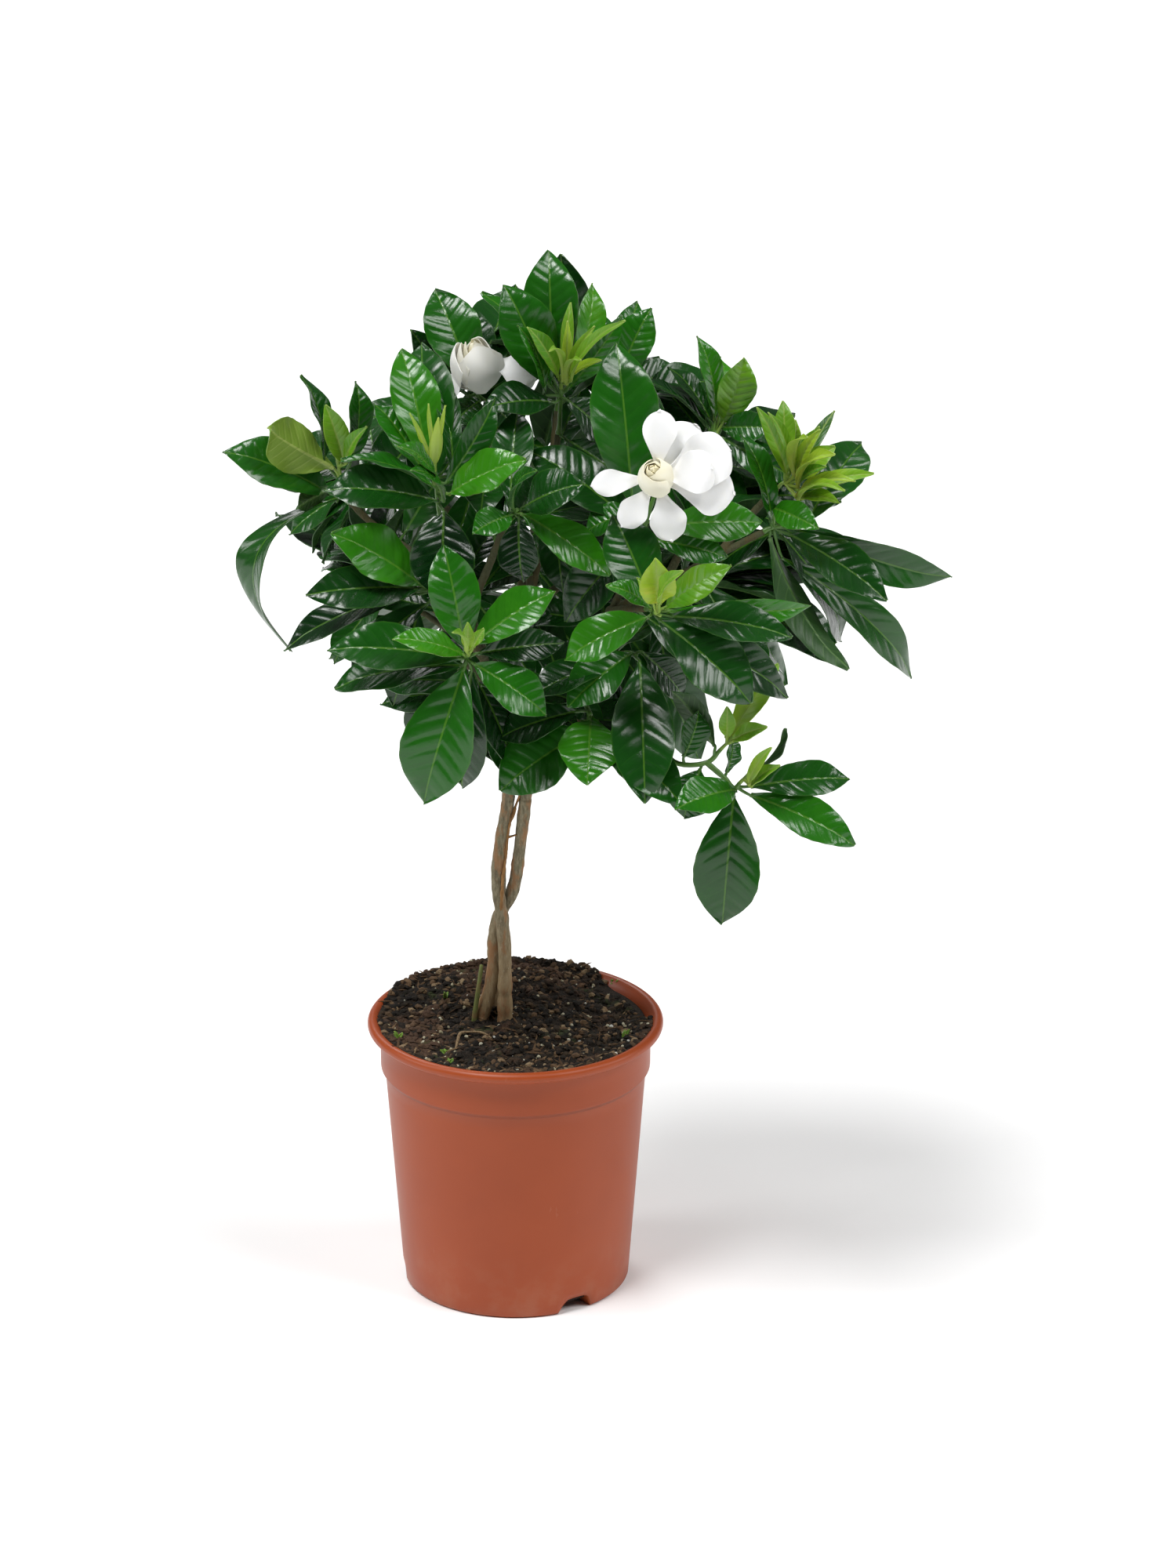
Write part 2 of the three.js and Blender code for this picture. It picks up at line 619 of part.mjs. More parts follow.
function ruledLeaf(shoot, level, k, owner) {
  const along = shoot[shoot.length - 1].clone().sub(shoot[0]);
  const root = shoot[0].clone().addScaledVector(along, 0.3 + 0.7 * level / (WHORLS - 1) - 0.04);
  along.normalize();
  const outward = new V(root.x - 20, root.y, 0).normalize();
  const across = new V(0, 0, 1).cross(along).normalize();
  const other = along.clone().cross(across);
  for (let attempt = 0; attempt < TRIES; attempt += 1) {
    const turn = (level * 60 + k * 360 / WHORL_LEAVES[level] + (random() - 0.5) * 90) * DEGREE;
    const open = (78 - 16 * level + (random() - 0.5) * 36) * DEGREE;
    const length = SHORTEST_LEAF + LENGTH_SPREAD * random();
    const heading = along.clone().multiplyScalar(Math.cos(open))
      .addScaledVector(across, Math.sin(open) * Math.cos(turn))
      .addScaledVector(other, Math.sin(open) * Math.sin(turn));
    const base = root.clone().addScaledVector(heading, 5);
    const tip = base.clone().addScaledVector(heading, length);
    const facing = outward.clone().multiplyScalar(0.5).add(new V(0, 0, 0.85));
    const width = length * (0.38 + 0.06 * random());
    const blade = makeBlade(base, tip, width, facing, 0, LEAF_ARCH, LEAF_FOLD);
    const cloud = bladeCloud(blade, owner, leafOutline);
    if (!insideCrown(tip) || clearance(cloud) <= 0) continue;
    placed.push(cloud);
    return { blade, root };
  }
  return null;
}

function shootPath(name, ends) {
  const seat = seats[name];
  const top = seat[seat.length - 1];
  const heading = top.clone().sub(seat[seat.length - 2]).normalize();
  return [top.clone().addScaledVector(heading, SEAT_GAP), top.clone().addScaledVector(heading, 4), ...ends];
}

function onwardPath(path, reach) {
  const top = path[path.length - 1];
  const heading = top.clone().sub(path[path.length - 2]).normalize();
  return [SEAT_GAP, ROOT_REST, reach].map((step) => top.clone().addScaledVector(heading, step));
}

function leafParts(rows, depth, paths, owner, young) {
  return rows.map((row) => {
    const start = seen(row[0], row[1], depth);
    const near = paths.map((path) => nearestOn(path, start).distanceTo(start));
    const path = paths[near.indexOf(Math.min(...near))];
    const leaf = placeSeen(row, depth, path, owner, young);
    const stations = young || row[4] < 19 ? SMALL_STATIONS : LEAF_STATIONS;
    return bladeSolid(leaf.blade, leaf.root, stations, leafOutline);
  });
}

const GREEN_LOOKS = { color: 0x22441f, roughness: 0.35, metalness: 0 };
const YOUNG_LOOKS = { color: 0x6f9a34, roughness: 0.45, metalness: 0 };
const tracks = {};

function shootTracks(name, spray) {
  const places = [...(spray.bends ?? []), spray.end].map(([a, b]) => seen(a, b, spray.depth));
  const main = shootPath(name, places);
  const paths = [main];
  if (spray.fork) paths.push(spray.fork.map(([a, b]) => seen(a, b, spray.depth)));
  paths.forEach((path) => placed.push(rodCloud(path, SHOOT_RADIUS, `spray_${name}`)));
  tracks[name] = paths;
  if (spray.young) youngTrack(`young_${name}`, main);
  if (spray.youngFork) youngTrack(`young_${name}_fork`, paths[1]);
}

function youngTrack(name, path) {
  tracks[name] = onwardPath(path, YOUNG_STEM);
  placed.push(rodCloud(tracks[name], SHOOT_TIP_RADIUS, name));
}

function shootSolids(name) {
  return tracks[name].map((path) => rod(path, taper(SHOOT_RADIUS, SHOOT_TIP_RADIUS, path.length), LIMB_SIDES));
}

function spraySolid(name, spray) {
  const leaves = leafParts(spray.leaves, spray.depth, tracks[name], `spray_${name}`, false);
  return joined([...shootSolids(name), ...leaves]);
}

function youngSolid(name, rows) {
  const stem = tracks[name];
  const leaves = leafParts(rows, stem[2].y, [stem], name, true);
  return joined([rod(stem, taper(SHOOT_TIP_RADIUS, YOUNG_TIP_RADIUS, 3), LIMB_SIDES), ...leaves]);
}

function ruledSolid(name) {
  const owner = `spray_${name}`;
  const solids = shootSolids(name);
  for (let level = 0; level < WHORLS; level += 1) {
    for (let k = 0; k < WHORL_LEAVES[level]; k += 1) {
      const leaf = ruledLeaf(tracks[name][0], level, k, owner);
      if (leaf) solids.push(bladeSolid(leaf.blade, leaf.root, SMALL_STATIONS, leafOutline));
    }
  }
  return joined(solids);
}

// Pot

function potBody() {
  const roll = RIM_ROLL / 2;
  const rollCentre = RIM_RADIUS - roll;
  const rollZ = POT_HEIGHT - roll;
  const arc = [-90, -30, 30, 90, 140].map((turn) => [
    rollCentre + roll * Math.cos(turn * DEGREE), rollZ + roll * Math.sin(turn * DEGREE)]);
  const profile = [
    [0, 0], [PAD_RADIUS, 0], [PAD_RADIUS + 3, FLOOR_UNDERSIDE], [FOOT_RING_RADIUS - 3, FLOOR_UNDERSIDE],
    [FOOT_RING_RADIUS, 0], [FOOT_RADIUS - 3.2, 0], [FOOT_RADIUS - 1, 2.6], [FOOT_RADIUS, FOOT_Z],
    [STEP_RADIUS, STEP_Z], [BAND_RADIUS, BAND_FOOT], [BAND_RADIUS, rollZ - roll], ...arc,
    [BAND_RADIUS - WALL, rollZ - 1], [BAND_RADIUS - WALL, BAND_FOOT + 1], [STEP_RADIUS - WALL, STEP_Z - 1],
    [FOOT_RADIUS - WALL, FOOT_Z], [FOOT_RADIUS - WALL - 3, FLOOR_TOP], [0, FLOOR_TOP],
  ];
  const geometry = new THREE.LatheGeometry(profile.map(([r, z]) => new THREE.Vector2(r, z)), POT_SIDES);
  geometry.rotateX(Math.PI / 2);
  return toSolid(geometry);
}

function notchCutter(turn) {
  const shape = new THREE.Shape();
  const half = NOTCH_WIDTH / 2;
  shape.moveTo(-half, -2);
  shape.lineTo(half, -2);
  shape.lineTo(half, NOTCH_HEIGHT - 4);
  shape.lineTo(half - 3, NOTCH_HEIGHT);
  shape.lineTo(3 - half, NOTCH_HEIGHT);
  shape.lineTo(-half, NOTCH_HEIGHT - 4);
  shape.closePath();
  const geometry = new THREE.ExtrudeGeometry(shape, { depth: 16, bevelEnabled: false });
  geometry.rotateX(Math.PI / 2);
  geometry.translate(0, -FOOT_RADIUS + 13, 0);
  geometry.rotateZ(turn * DEGREE);
  return toSolid(geometry);
}

function drainCutter(turn) {
  const geometry = new THREE.CylinderGeometry(DRAIN_RADIUS, DRAIN_RADIUS, 12, 12);
  geometry.rotateX(Math.PI / 2);
  geometry.translate(0, -DRAIN_RING, 4);
  geometry.rotateZ(turn * DEGREE);
  return toSolid(geometry);
}

function potSolid() {
  let pot = potBody();
  for (let i = 0; i < NOTCH_COUNT; i += 1) pot = pot.subtract(notchCutter(NOTCH_TURN + i * 360 / NOTCH_COUNT));
  for (let i = 0; i < DRAIN_COUNT; i += 1) pot = pot.subtract(drainCutter(20 + i * 360 / DRAIN_COUNT));
  return pot;
}

// Soil

function ramp(from, to, value) {
  const t = Math.min(Math.max((value - from) / (to - from), 0), 1);
  return t * t * (3 - 2 * t);
}

function soilHeight(x, y) {
  const r = Math.hypot(x, y) / SOIL_RADIUS;
  const heap = ramp(-5, 62, y) * (1 - ramp(12, 58, x));
  const lumps = 1.1 * Math.sin(0.21 * x + 1.3) * Math.cos(0.17 * y) + 0.7 * Math.sin(0.47 * y - 0.31 * x);
  return SOIL_LEVEL + SOIL_CROWN * (1 - r * r) + SOIL_HEAP * heap * (1 - 0.25 * r ** 8) + lumps;
}

function soilSolid() {
  const points = [new V(0, 0, soilHeight(0, 0))];
  const rings = [];
  const ring = (radius, level) => {
    rings.push(points.length);
    for (let k = 0; k < SOIL_SIDES; k += 1) {
      const turn = 2 * Math.PI * k / SOIL_SIDES - Math.PI / 2;
      const [x, y] = [radius * Math.cos(turn), radius * Math.sin(turn)];
      points.push(new V(x, y, level ?? soilHeight(x, y)));
    }
  };
  for (let i = 1; i <= SOIL_RINGS; i += 1) ring(SOIL_RADIUS * i / SOIL_RINGS);
  ring(SOIL_RADIUS, BAND_FOOT + 1.5);
  ring(STEP_RADIUS - WALL - 0.5, STEP_Z - 1.5);
  ring(FOOT_RADIUS - WALL - 0.5, FOOT_Z);
  ring(FOOT_RADIUS - WALL - 3.6, FLOOR_TOP + SEAT_GAP);
  const bottom = points.length;
  points.push(new V(0, 0, FLOOR_TOP + SEAT_GAP));
  const faces = [];
  for (let k = 0; k < SOIL_SIDES; k += 1) {
    const next = (k + 1) % SOIL_SIDES;
    faces.push([0, rings[0] + k, rings[0] + next]);
    faces.push([bottom, rings[rings.length - 1] + next, rings[rings.length - 1] + k]);
    for (let i = 0; i + 1 < rings.length; i += 1) {
      const [a, b] = [rings[i] + k, rings[i] + next];
      const [c, d] = [rings[i + 1] + k, rings[i + 1] + next];
      faces.push([a, c, d], [a, d, b]);
    }
  }
  let soil = solidFrom(points, faces);
  Object.keys(STRANDS).forEach((name) => {
    const path = strandPath(name).slice(0, 5);
    path.unshift(path[0].clone().add(path[0].clone().sub(path[1]).setLength(SEAT_GAP)));
    soil = soil.subtract(rod(path, path.map(() => STRAND_RADIUS + SEAT_GAP), STRAND_SIDES));
  });
  const side = sideStemPath();
  side.unshift(side[0].clone().add(side[0].clone().sub(side[1]).setLength(SEAT_GAP)));
  const hole = side.slice(0, 3);
  return soil.subtract(rod(hole, hole.map(() => SIDE_STEM_RADIUS + SEAT_GAP), LIMB_SIDES));
}

function sideStemPath() {
  return [seen(-25.5, 128, 2), seen(-23.6, 146, 3), seen(-21.4, 162, 3.5), seen(-19.4, 177, 4)];
}

// Flowers

const PETAL_LOOKS = { color: 0xfdfcf6, roughness: 0.5, metalness: 0 };

function petalSolid(centre, row, core) {
  const [a1, b1, width, dy, roll = 0, arch = 0.1] = row;
  const tip = seen(a1, b1, centre.y + dy);
  const base = centre.clone().add(tip.clone().sub(centre).setLength(core * 0.75));
  const facing = TOWARD.clone();
  const blade = makeBlade(base, tip, width, facing, roll, arch, 0.22);
  return { blade, root: centre };
}

function bloomSolid(name, centre, core, stretch, axis, rows) {
  const solids = [ball(centre, core, stretch, axis, 9, 7)];
  placed.push(cloudOf([centre], name, core + 1));
  rows.forEach((row) => {
    const { blade, root } = petalSolid(centre, row, core);
    placed.push(bladeCloud(blade, name, petalOutline));
    solids.push(bladeSolid(blade, root, PETAL_STATIONS, petalOutline));
  });
  return joined(solids);
}

// The open bloom's petals: [across, up] of the tip, width, depth behind the heart, roll and arch.
const OPEN_PETALS = [
  [83, 494, 19, 4], [104, 485, 26, 14], [123, 471, 32, 2], [125, 445, 28, -2], [90, 419, 21, -8],
  [61, 427, 17, -6], [43, 451, 15, 0], [113, 460, 25, -12],
];
const HALF_PETALS = [
  [13, 509, 22, -4], [-42, 505, 14, -8], [-36, 534, 22, 4], [-8, 536, 22, 4], [-22, 502, 18, -14],
  [-4, 522, 20, -8], [-22, 538, 22, -6],
];
const OPEN_CENTRE = seen(81, 455, -92);
const OPEN_CORE = 9;
const OPEN_CALYX = 2.4;
const HALF_CENTRE = seen(-22, 519, -2);
const HALF_CORE = 13;
const HALF_STRETCH = 1.12;
const HALF_CALYX = 2.6;
const BUD_RADIUS = 4.2;
const BUD_STRETCH = 1.08;
const BUD_DEPTH = -66;
const SEPALS = [[-60, 492], [-57, 484], [-40, 496]];

function calyxSolid(path, radius) {
  return rod(path, taper(SHOOT_TIP_RADIUS, radius, path.length), LIMB_SIDES);
}

function calyxPath(path, centre, core) {
  const top = path[path.length - 1];
  const heading = top.clone().sub(path[path.length - 2]).normalize();
  const start = top.clone().addScaledVector(heading, SEAT_GAP);
  const out = start.clone().addScaledVector(heading, 2.5);
  const end = centre.clone().add(out.clone().sub(centre).setLength(core + SEAT_GAP + 0.2));
  return [start, out, end];
}

function budSolid(path) {
  const stem = onwardPath(path, 5);
  const top = stem[2];
  const tip = seen(-44, 489, BUD_DEPTH);
  const along = tip.clone().sub(top);
  const centre = top.clone().addScaledVector(along, 0.5);
  const stretch = along.length() / 2 / BUD_RADIUS * BUD_STRETCH;
  const solids = [rod(stem, taper(SHOOT_TIP_RADIUS, 1.5, 3), LIMB_SIDES)];
  solids.push(ball(centre, BUD_RADIUS, stretch, along.clone().normalize(), 8, 7));
  SEPALS.forEach(([a, b]) => {
    const end = seen(a, b, BUD_DEPTH);
    const blade = makeBlade(top, end, 3, TOWARD, 0, 0.05, 0.3);
    solids.push(bladeSolid(blade, stem[0].clone().lerp(top, 0.8), SMALL_STATIONS, leafOutline));
  });
  placed.push(rodCloud([top, tip], 4.4, 'flower_bud'));
  return joined(solids);
}

// Assembly

const plant = new THREE.Group();

function add(name, solid, looks) {
  const mesh = new THREE.Mesh(toGeometry(solid), new THREE.MeshStandardMaterial(looks));
  mesh.name = name;
  plant.add(mesh);
}

add('pot', potSolid(), { color: 0x9f5237, roughness: 0.5, metalness: 0 });
add('soil', soilSolid(), { color: 0x231c16, roughness: 1, metalness: 0 });
Object.keys(STRANDS).forEach((name) => add(`stem_${name}`, woodSolid(name), WOOD_LOOKS));
const sideStem = sideStemPath();
const sideSolid = rod(sideStem, taper(SIDE_STEM_RADIUS, SIDE_STEM_TIP, sideStem.length), LIMB_SIDES);
add('stem_side', sideSolid, { color: 0x6c7038, roughness: 0.7, metalness: 0 });

Object.entries(SHOOTS).forEach(([name, spray]) => shootTracks(name, spray));
Object.entries(RULED).forEach(([name, end]) => {
  tracks[name] = [shootPath(name, [aboveRim(end)])];
  placed.push(rodCloud(tracks[name][0], SHOOT_RADIUS, `spray_${name}`));
});

const openPath = calyxPath(tracks.bloom_open[0], OPEN_CENTRE, OPEN_CORE);
const halfPath = calyxPath(tracks.bloom_half[0], HALF_CENTRE, HALF_CORE);
const openBloom = bloomSolid('bloom_open', OPEN_CENTRE, OPEN_CORE, 1, TOWARD, OPEN_PETALS);
const halfBloom = bloomSolid('bloom_half', HALF_CENTRE, HALF_CORE, HALF_STRETCH, UPWARD, HALF_PETALS);
add('bloom_open', openBloom, PETAL_LOOKS);
add('bloom_half', halfBloom, PETAL_LOOKS);
add('calyx_open', calyxSolid(openPath, OPEN_CALYX), GREEN_LOOKS);
add('calyx_half', calyxSolid(halfPath, HALF_CALYX), GREEN_LOOKS);
add('flower_bud', budSolid(tracks.left_bud[0]), YOUNG_LOOKS);

Object.entries(SHOOTS).forEach(([name, spray]) => {
  add(`spray_${name}`, spraySolid(name, spray), GREEN_LOOKS);
  if (spray.young) {
    add(`young_${name}`, youngSolid(`young_${name}`, spray.young), YOUNG_LOOKS);
  }
  if (spray.youngFork) {
    const node = `young_${name}_fork`;
    add(node, youngSolid(node, spray.youngFork), YOUNG_LOOKS);
  }
});

const rightStem = shootPath('right_new', [seen(157, 452, RIGHT_DEPTH)]);
placed.push(rodCloud(rightStem, SHOOT_TIP_RADIUS, 'young_right'));
const rightLeaves = leafParts(YOUNG_RIGHT, RIGHT_DEPTH, [rightStem], 'young_right', true);
const rightShoot = rod(rightStem, taper(SHOOT_RADIUS, SHOOT_TIP_RADIUS, rightStem.length), LIMB_SIDES);
add('young_right', joined([rightShoot, ...rightLeaves]), YOUNG_LOOKS);

Object.keys(RULED).forEach((name) => add(`spray_${name}`, ruledSolid(name), GREEN_LOOKS));

export default plant;
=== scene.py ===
import math

import bmesh
import bpy
import numpy as np
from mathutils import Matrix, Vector, noise


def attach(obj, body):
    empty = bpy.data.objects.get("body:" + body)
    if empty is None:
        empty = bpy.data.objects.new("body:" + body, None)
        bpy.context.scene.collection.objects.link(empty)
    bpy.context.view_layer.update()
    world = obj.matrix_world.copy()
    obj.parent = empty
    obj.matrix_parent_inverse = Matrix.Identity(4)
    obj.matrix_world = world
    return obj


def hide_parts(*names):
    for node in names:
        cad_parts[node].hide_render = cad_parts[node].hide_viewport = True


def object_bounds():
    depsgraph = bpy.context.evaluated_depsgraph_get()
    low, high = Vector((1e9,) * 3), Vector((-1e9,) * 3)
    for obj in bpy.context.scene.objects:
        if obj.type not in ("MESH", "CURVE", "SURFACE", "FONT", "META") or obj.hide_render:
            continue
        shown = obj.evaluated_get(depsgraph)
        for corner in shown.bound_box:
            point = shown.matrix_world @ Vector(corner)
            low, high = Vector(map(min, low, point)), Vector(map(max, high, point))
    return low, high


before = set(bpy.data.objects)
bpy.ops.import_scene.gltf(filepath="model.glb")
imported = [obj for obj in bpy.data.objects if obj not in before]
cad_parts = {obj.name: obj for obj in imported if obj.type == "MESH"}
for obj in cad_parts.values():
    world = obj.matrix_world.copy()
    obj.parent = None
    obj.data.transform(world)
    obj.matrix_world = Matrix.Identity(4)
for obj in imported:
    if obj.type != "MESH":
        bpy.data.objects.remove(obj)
cad_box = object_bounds()

# The place it is seen from: an eye four metres off that looks down by about 21 degrees, over a plain
# pale floor, with a large soft light at each side and one above.
MM = 0.001
EYE_TILT = math.radians(21.35)
EYE_DISTANCE = 4000
RIM_Z = 156.4
RIM_UP = 144.5
EYE_ACROSS = 41.4
EYE_UP = 280.4
LENS = 160.9
SENSOR_WIDTH = 36
FLOOR_REACH = 12000
FLOOR_PAPER = (0.95, 0.95, 0.95, 1)
FRONT_WALL = (0.05, 0.05, 0.05, 1)
BACK_WALL = (0.15, 0.15, 0.15, 1)
# A light is its height over the floor and its turn from the front, how wide it looks, all in degrees,
# and its power.
LIGHTS = {
    "key_softbox": (66, -42, 22, 2.2), "side_softbox": (50, 62, 22, 1.1),
    "left_softbox": (30, -86, 18, 0.7), "right_softbox": (26, 90, 18, 0.6),
    "back_softbox": (44, -160, 24, 0.7),
}
UPWARD = np.array([0, math.sin(EYE_TILT), math.cos(EYE_TILT)])
TOWARD = np.array([0, -math.cos(EYE_TILT), math.sin(EYE_TILT)])


def on_plane(across, up):
    """A place in the upright plane that leans back from the rim's centre, as the eye sees it."""
    return np.array([across, 0, RIM_Z]) + UPWARD * (up - RIM_UP)


EYE = on_plane(EYE_ACROSS, EYE_UP) + TOWARD * EYE_DISTANCE


def seen(across, up, y):
    """The place at depth y that shows at (across, up)."""
    plane = on_plane(across, up)
    return EYE + (plane - EYE) * (y - EYE[1]) / (plane[1] - EYE[1])


def as_seen(points):
    """Where points show, as rows of (across, up)."""
    rays = np.atleast_2d(points) - EYE
    plane = EYE + rays * (-EYE_DISTANCE / (rays @ TOWARD))[:, None] - np.array([0, 0, RIM_Z])
    return np.stack([plane[:, 0], plane @ UPWARD + RIM_UP], 1)


def stand_camera():
    lens = bpy.data.cameras.new("eye")
    lens.lens = LENS
    lens.sensor_width = SENSOR_WIDTH
    lens.clip_end = 100
    camera = bpy.data.objects.new("eye", lens)
    camera.location = EYE * MM
    camera.rotation_euler = (math.pi / 2 - EYE_TILT, 0, 0)
    bpy.context.scene.collection.objects.link(camera)
    bpy.context.scene.camera = camera


def hang_light(name, elevation, turn, spread, power):
    """A soft light a long way off, which shines towards the plant."""
    lamp = bpy.data.lights.new(name, "SUN")
    lamp.energy = power
    lamp.angle = math.radians(spread)
    light = bpy.data.objects.new(name, lamp)
    light.rotation_euler = (math.radians(90 - elevation), 0, math.radians(turn))
    bpy.context.scene.collection.objects.link(light)


def lay_floor():
    mesh = bpy.data.meshes.new("floor")
    reach = FLOOR_REACH * MM
    mesh.from_pydata([(-reach, -reach, 0), (reach, -reach, 0), (reach, reach, 0), (-reach, reach, 0)], [],
                     [(0, 1, 2, 3)])
    paper = bpy.data.materials.new("pale_floor")
    paper.use_nodes = True
    shader = paper.node_tree.nodes["Principled BSDF"]
    shader.inputs["Base Color"].default_value = FLOOR_PAPER
    shader.inputs["Roughness"].default_value = 0.9
    mesh.materials.append(paper)
    floor = bpy.data.objects.new("floor", mesh)
    bpy.context.scene.collection.objects.link(floor)


class Field:
    """A socket in a tree of nodes. Sums on it add Math nodes, so that a pattern reads as a formula."""

    def __init__(self, tree, socket=None):
        self.tree = tree
        self.socket = socket

    def node(self, kind, settings=None, sockets=None, out=0):
        made = self.tree.nodes.new(kind)
        for key, value in (settings or {}).items():
            if key == "stops":
                self.set_stops(made.color_ramp.elements, value)
            else:
                setattr(made, key, value)
        for key, value in (sockets or {}).items():
            if isinstance(value, Field):
                self.tree.links.new(made.inputs[key], value.socket)
            else:
                made.inputs[key].default_value = value
        return Field(self.tree, made.outputs[out])

    def set_stops(self, elements, stops):
        while len(elements) < len(stops):
            elements.new(1)
        for element, (place, colour) in zip(elements, stops):
            element.position = place
            element.color = (*colour, 1)

    def math(self, operation, *values):
        return self.node("ShaderNodeMath", {"operation": operation}, dict(enumerate(values)))

    def vector(self, operation, *values, out="Vector"):
        return self.node("ShaderNodeVectorMath", {"operation": operation}, dict(enumerate(values)), out)

    def chance(self, seed, low=0.0, high=1.0):
        """A number for each point, drawn between low and high."""
        return self.node("FunctionNodeRandomValue", {"data_type": "FLOAT"}, {
            2: low, 3: high, "Seed": seed}, out=1)

    def __add__(self, other):
        return self.math("ADD", self, other)

    def __radd__(self, other):
        return self.math("ADD", other, self)

    def __sub__(self, other):
        return self.math("SUBTRACT", self, other)

    def __rsub__(self, other):
        return self.math("SUBTRACT", other, self)

    def __mul__(self, other):
        return self.math("MULTIPLY", self, other)

    def __abs__(self):
        return self.math("ABSOLUTE", self)

    def fraction(self):
        return self.math("FRACT", self)

    def between(self, low, high):
        """0 at low, 1 at high, and a smooth rise from one to the other."""
        return self.node("ShaderNodeMapRange", {"interpolation_type": "SMOOTHSTEP"},
                         {"Value": self, "From Min": low, "From Max": high})

    def mix(self, start, end):
        """The colour start where this is 0 and end where it is 1."""
        return self.node("ShaderNodeMix", {"data_type": "RGBA"}, {0: self, 6: start, 7: end}, out=2)

    def ramp(self, *stops):
        return self.node("ShaderNodeValToRGB", {"stops": stops}, {"Fac": self})

    def parts(self):
        """The three numbers of a vector."""
        split = self.node("ShaderNodeSeparateXYZ", None, {"Vector": self}).socket.node
        return [Field(self.tree, socket) for socket in split.outputs]

    def place(self):
        return self.node("ShaderNodeTexCoord", out="Object")

    def mark(self, name, out="Vector"):
        """What the mesh holds under this name at each point."""
        return self.node("ShaderNodeAttribute", {"attribute_name": name}, out=out)

    def stretched(self, scale):
        """The place on the object, in metres, times a scale for each axis."""
        return self.node("ShaderNodeMapping", None, {"Vector": self.place(), "Scale": scale})

    def grain(self, scale, detail=3.0, rough=0.55, at=None):
        """Noise from 0 to 1 with about `scale` grains to the metre."""
        return self.node("ShaderNodeTexNoise", None, {
            "Vector": at or self.place(), "Scale": scale, "Detail": detail, "Roughness": rough})

    def cells(self, scale, feature="F1", at=None):
        return self.node("ShaderNodeTexVoronoi", {"feature": feature},
                         {"Vector": at or self.place(), "Scale": scale})

    def bump(self, distance, strength=1.0):
        """A normal from this height, where 1 stands `distance` metres high."""
        return self.node("ShaderNodeBump", None, {
            "Height": self, "Distance": distance, "Strength": strength})


def light_room():
    """A pale room that is whiter behind the plant than on the side of the eye."""
    world = bpy.data.worlds.new("studio")
    world.use_nodes = True
    at = Field(world.node_tree)
    along_y = at.node("ShaderNodeTexCoord", out="Generated").parts()[1]
    walls = along_y.between(-0.7, 0.5).mix(FRONT_WALL, BACK_WALL)
    background = world.node_tree.nodes["Background"]
    world.node_tree.links.new(background.inputs["Color"], walls.socket)
    bpy.context.scene.world = world


bpy.context.scene.view_settings.view_transform = "Standard"
stand_camera()
lay_floor()
light_room()
for name, light in LIGHTS.items():
    hang_light(name, *light)

# The pot is injection-moulded polypropylene, clay-coloured and satin: a rolled rim over a straight
# band, a small step, a tapered wall and a foot ring with three notches and five drain holes.
POT_HEIGHT = 160.2
RIM_RADIUS = 84.4
RIM_ROLL = 6.3
BAND_RADIUS = 77
BAND_FOOT = 131.5
STEP_RADIUS = 74.5
STEP_Z = 129
FOOT_RADIUS = 65.5
FOOT_Z = 12
FOOT_EDGE = 61.8
FOOT_ROUND = 3
FOOT_RING_RADIUS = 55
PAD_RADIUS = 12
FLOOR_UNDERSIDE = 3
FLOOR_TOP = 4.8
WALL = 1.8
POT_TURNS = 144
NOTCH_COUNT = 3
NOTCH_HALF = 10
NOTCH_HEIGHT = 9
NOTCH_TURN = 33
NOTCH_RING = (50, 62, 65.4)
DRAIN_COUNT = 5
DRAIN_RADIUS = 5
DRAIN_RING = 36
DRAIN_TURN = 20
# Heights in metres of a thin dark band at the step: painted shade under the step's edge.
STEP_SHADE_Z = (0.1282, 0.1296, 0.1308, 0.1322)


def finish(name, paint, shine, soft=None):
    """A material. Paint gives what varies over the surface, and shine how much of the light it mirrors.
    Soft is for tissue that light goes into: how much of it, how far each colour goes, and the scale."""
    material = bpy.data.materials.new(name)
    material.use_nodes = True
    shader = material.node_tree.nodes["Principled BSDF"]
    shader.inputs["Specular IOR Level"].default_value = shine
    for socket, value in zip(("Subsurface Weight", "Subsurface Radius", "Subsurface Scale"), soft or ()):
        shader.inputs[socket].default_value = value
    for socket, value in paint(Field(material.node_tree)).items():
        material.node_tree.links.new(shader.inputs[socket], value.socket)
    return material


def make_object(name, points, faces, finishes, marks=None):
    """A smooth mesh object from millimetres. Marks are attributes, one row for each point."""
    mesh = bpy.data.meshes.new(name)
    mesh.from_pydata((np.asarray(points) * MM).tolist(), [], faces)
    for key, rows in (marks or {}).items():
        kind = "FLOAT_VECTOR" if np.ndim(rows) == 2 else "FLOAT"
        layer = mesh.attributes.new(key, kind, "POINT")
        column = "vector" if np.ndim(rows) == 2 else "value"
        layer.data.foreach_set(column, np.ravel(rows).astype(np.float32))
    for material in finishes:
        mesh.materials.append(material)
    mesh.shade_smooth()
    made = bpy.data.objects.new(name, mesh)
    bpy.context.scene.collection.objects.link(made)
    return made


def settle(made, slot, *nodes):
    """Puts a finished piece into the frame under the root body, and hides the nodes that it stands for.
    The slot is not used.
    """
    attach(made, "root")
    if nodes:
        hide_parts(*nodes)
    return made


def arc(centre, radius, start, end, count):
    """Points on a part of a circle, from one angle to another in degrees."""
    turns = np.radians(np.linspace(start, end, count))
    return [(centre[0] + radius * math.cos(a), centre[1] + radius * math.sin(a)) for a in turns]


